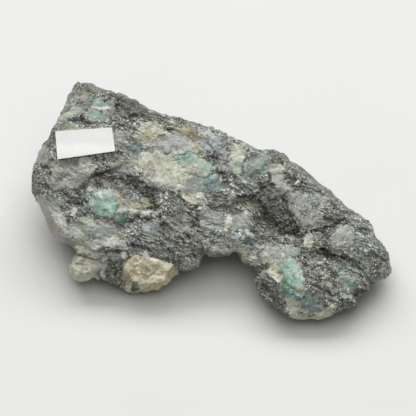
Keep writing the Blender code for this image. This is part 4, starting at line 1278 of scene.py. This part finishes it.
# %% Paper label
SAG = 0.10                           # mm
EDGE_LIFT = 0.35                     # mm, at the lower edge
label = copy_node("paper_label", "blank_paper_label")
pick(label)
bpy.ops.object.mode_set(mode="EDIT")
bpy.ops.mesh.select_all(action="SELECT")
bpy.ops.mesh.tris_convert_to_quads(face_threshold=0.2, shape_threshold=3.1)
bpy.ops.mesh.subdivide(number_cuts=23)
bpy.ops.object.mode_set(mode="OBJECT")
sheet = points_of(label.data)
sheet_face = to_face(sheet)
sag = SAG * soft_field(sheet_face * (1.0, 1.0, 0.0), 6.0, 4.0) - SAG
fibres = 0.03 * soft_field(sheet_face * (1.0, 1.0, 0.0), 0.5, 9.0)
sheet_face[:, :2] += fibres[:, None]
sheet_face[:, 2] += sag + EDGE_LIFT * ease((17.0 - sheet_face[:, 1]) / 4.0)
move_points(label.data, to_world(sheet_face))
print("label", len(label.data.polygons), "faces, lifted by", EDGE_LIFT, "mm")

# %% White paper
paper, tree, shader, places = new_material("white_paper")
pulp = noise_of(tree, places, 0.35, 4.0).outputs["Fac"]
soil = noise_of(tree, places, 5.0, 2.0).outputs["Fac"]
white = ramp(tree, pulp, ((0.3, (0.76, 0.76, 0.755)), (0.7, (0.83, 0.83, 0.825))))
worn = ramp(tree, soil, ((0.45, (1.0, 1.0, 1.0)), (0.8, (0.94, 0.93, 0.90))))
tree.links.new(mixed(tree, 1.0, white, worn, "MULTIPLY"), shader.inputs["Base Color"])
shader.inputs["Roughness"].default_value = 0.62
tree.links.new(bump(tree, pulp, 0.05, 0.5), shader.inputs["Normal"])
label.data.materials.append(paper)
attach(label, "root")
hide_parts("paper_label")
print("paper with", len(tree.nodes), "nodes")

# %% [markdown]
# ## Floor, light and camera
# The specimen lies on a pale, plain table. A small lamp would throw hard shadows and burn out the
# mica. A wide window is better: it stands behind the specimen and shines down at about 45 degrees,
# so soft shadows fall to the front, and a pale ceiling and the room fill them a little. A long
# lens keeps the outlines straight. It looks down at 55 degrees, square to the face's frame.

# %% Floor
bpy.ops.object.select_all(action="DESELECT")
bpy.ops.mesh.primitive_plane_add(size=3.0, location=(0.0, 0.0, 0.0))
floor = bpy.context.object
floor.name = "floor"
table_top, tree, shader, places = new_material("pale_table")
cloud = noise_of(tree, places, 60.0, 2.0).outputs["Fac"]
pale = ramp(tree, cloud, ((0.3, (0.655, 0.662, 0.648)), (0.7, (0.668, 0.675, 0.661))))
tree.links.new(pale, shader.inputs["Base Color"])
shader.inputs["Roughness"].default_value = 0.7
floor.data.materials.append(table_top)
print("table", floor.dimensions[0], "m wide")

# %% Light


def soft_lamp(name, place, width, height, energy):
    """A large soft lamp that faces the specimen."""
    bpy.ops.object.light_add(type="AREA", location=place)
    lamp = bpy.context.object
    lamp.name = name
    lamp.rotation_euler = Vector(place).to_track_quat("Z", "Y").to_euler()
    lamp.data.shape = "RECTANGLE"
    lamp.data.size = width
    lamp.data.size_y = height
    lamp.data.energy = energy


soft_lamp("window", (0.0, 1.55, 1.60), 3.6, 1.1, 63.0)
soft_lamp("ceiling", (0.0, 0.0, 1.5), 1.6, 1.6, 12.0)
room = bpy.data.worlds.new("bright_room")
room.use_nodes = True
room.node_tree.nodes["Background"].inputs["Color"].default_value = (1.0, 0.995, 0.95, 1.0)
room.node_tree.nodes["Background"].inputs["Strength"].default_value = 0.18
bpy.context.scene.world = room
bpy.context.scene.view_settings.view_transform = "Standard"
print("the window shines down at", round(math.degrees(math.atan2(1.60, 1.55))), "degrees")

# %% Camera
VIEW_CENTRE = (-0.84, -1.68, 0.0)     # face frame, mm
VIEW_WIDTH = 116.5                    # mm
DISTANCE = 1.2                        # m
target = to_world(np.array([VIEW_CENTRE]))[0]
eye = target + DISTANCE * FACE_AXES[2]
bpy.ops.object.camera_add(location=tuple(eye), rotation=(FACE_TURN, 0.0, 0.0))
camera = bpy.context.object
camera.name = "camera"
camera.data.sensor_width = 36.0
camera.data.lens = 36.0 * DISTANCE / (VIEW_WIDTH * MM)
bpy.context.scene.camera = camera
print("camera lens", round(camera.data.lens), "mm")
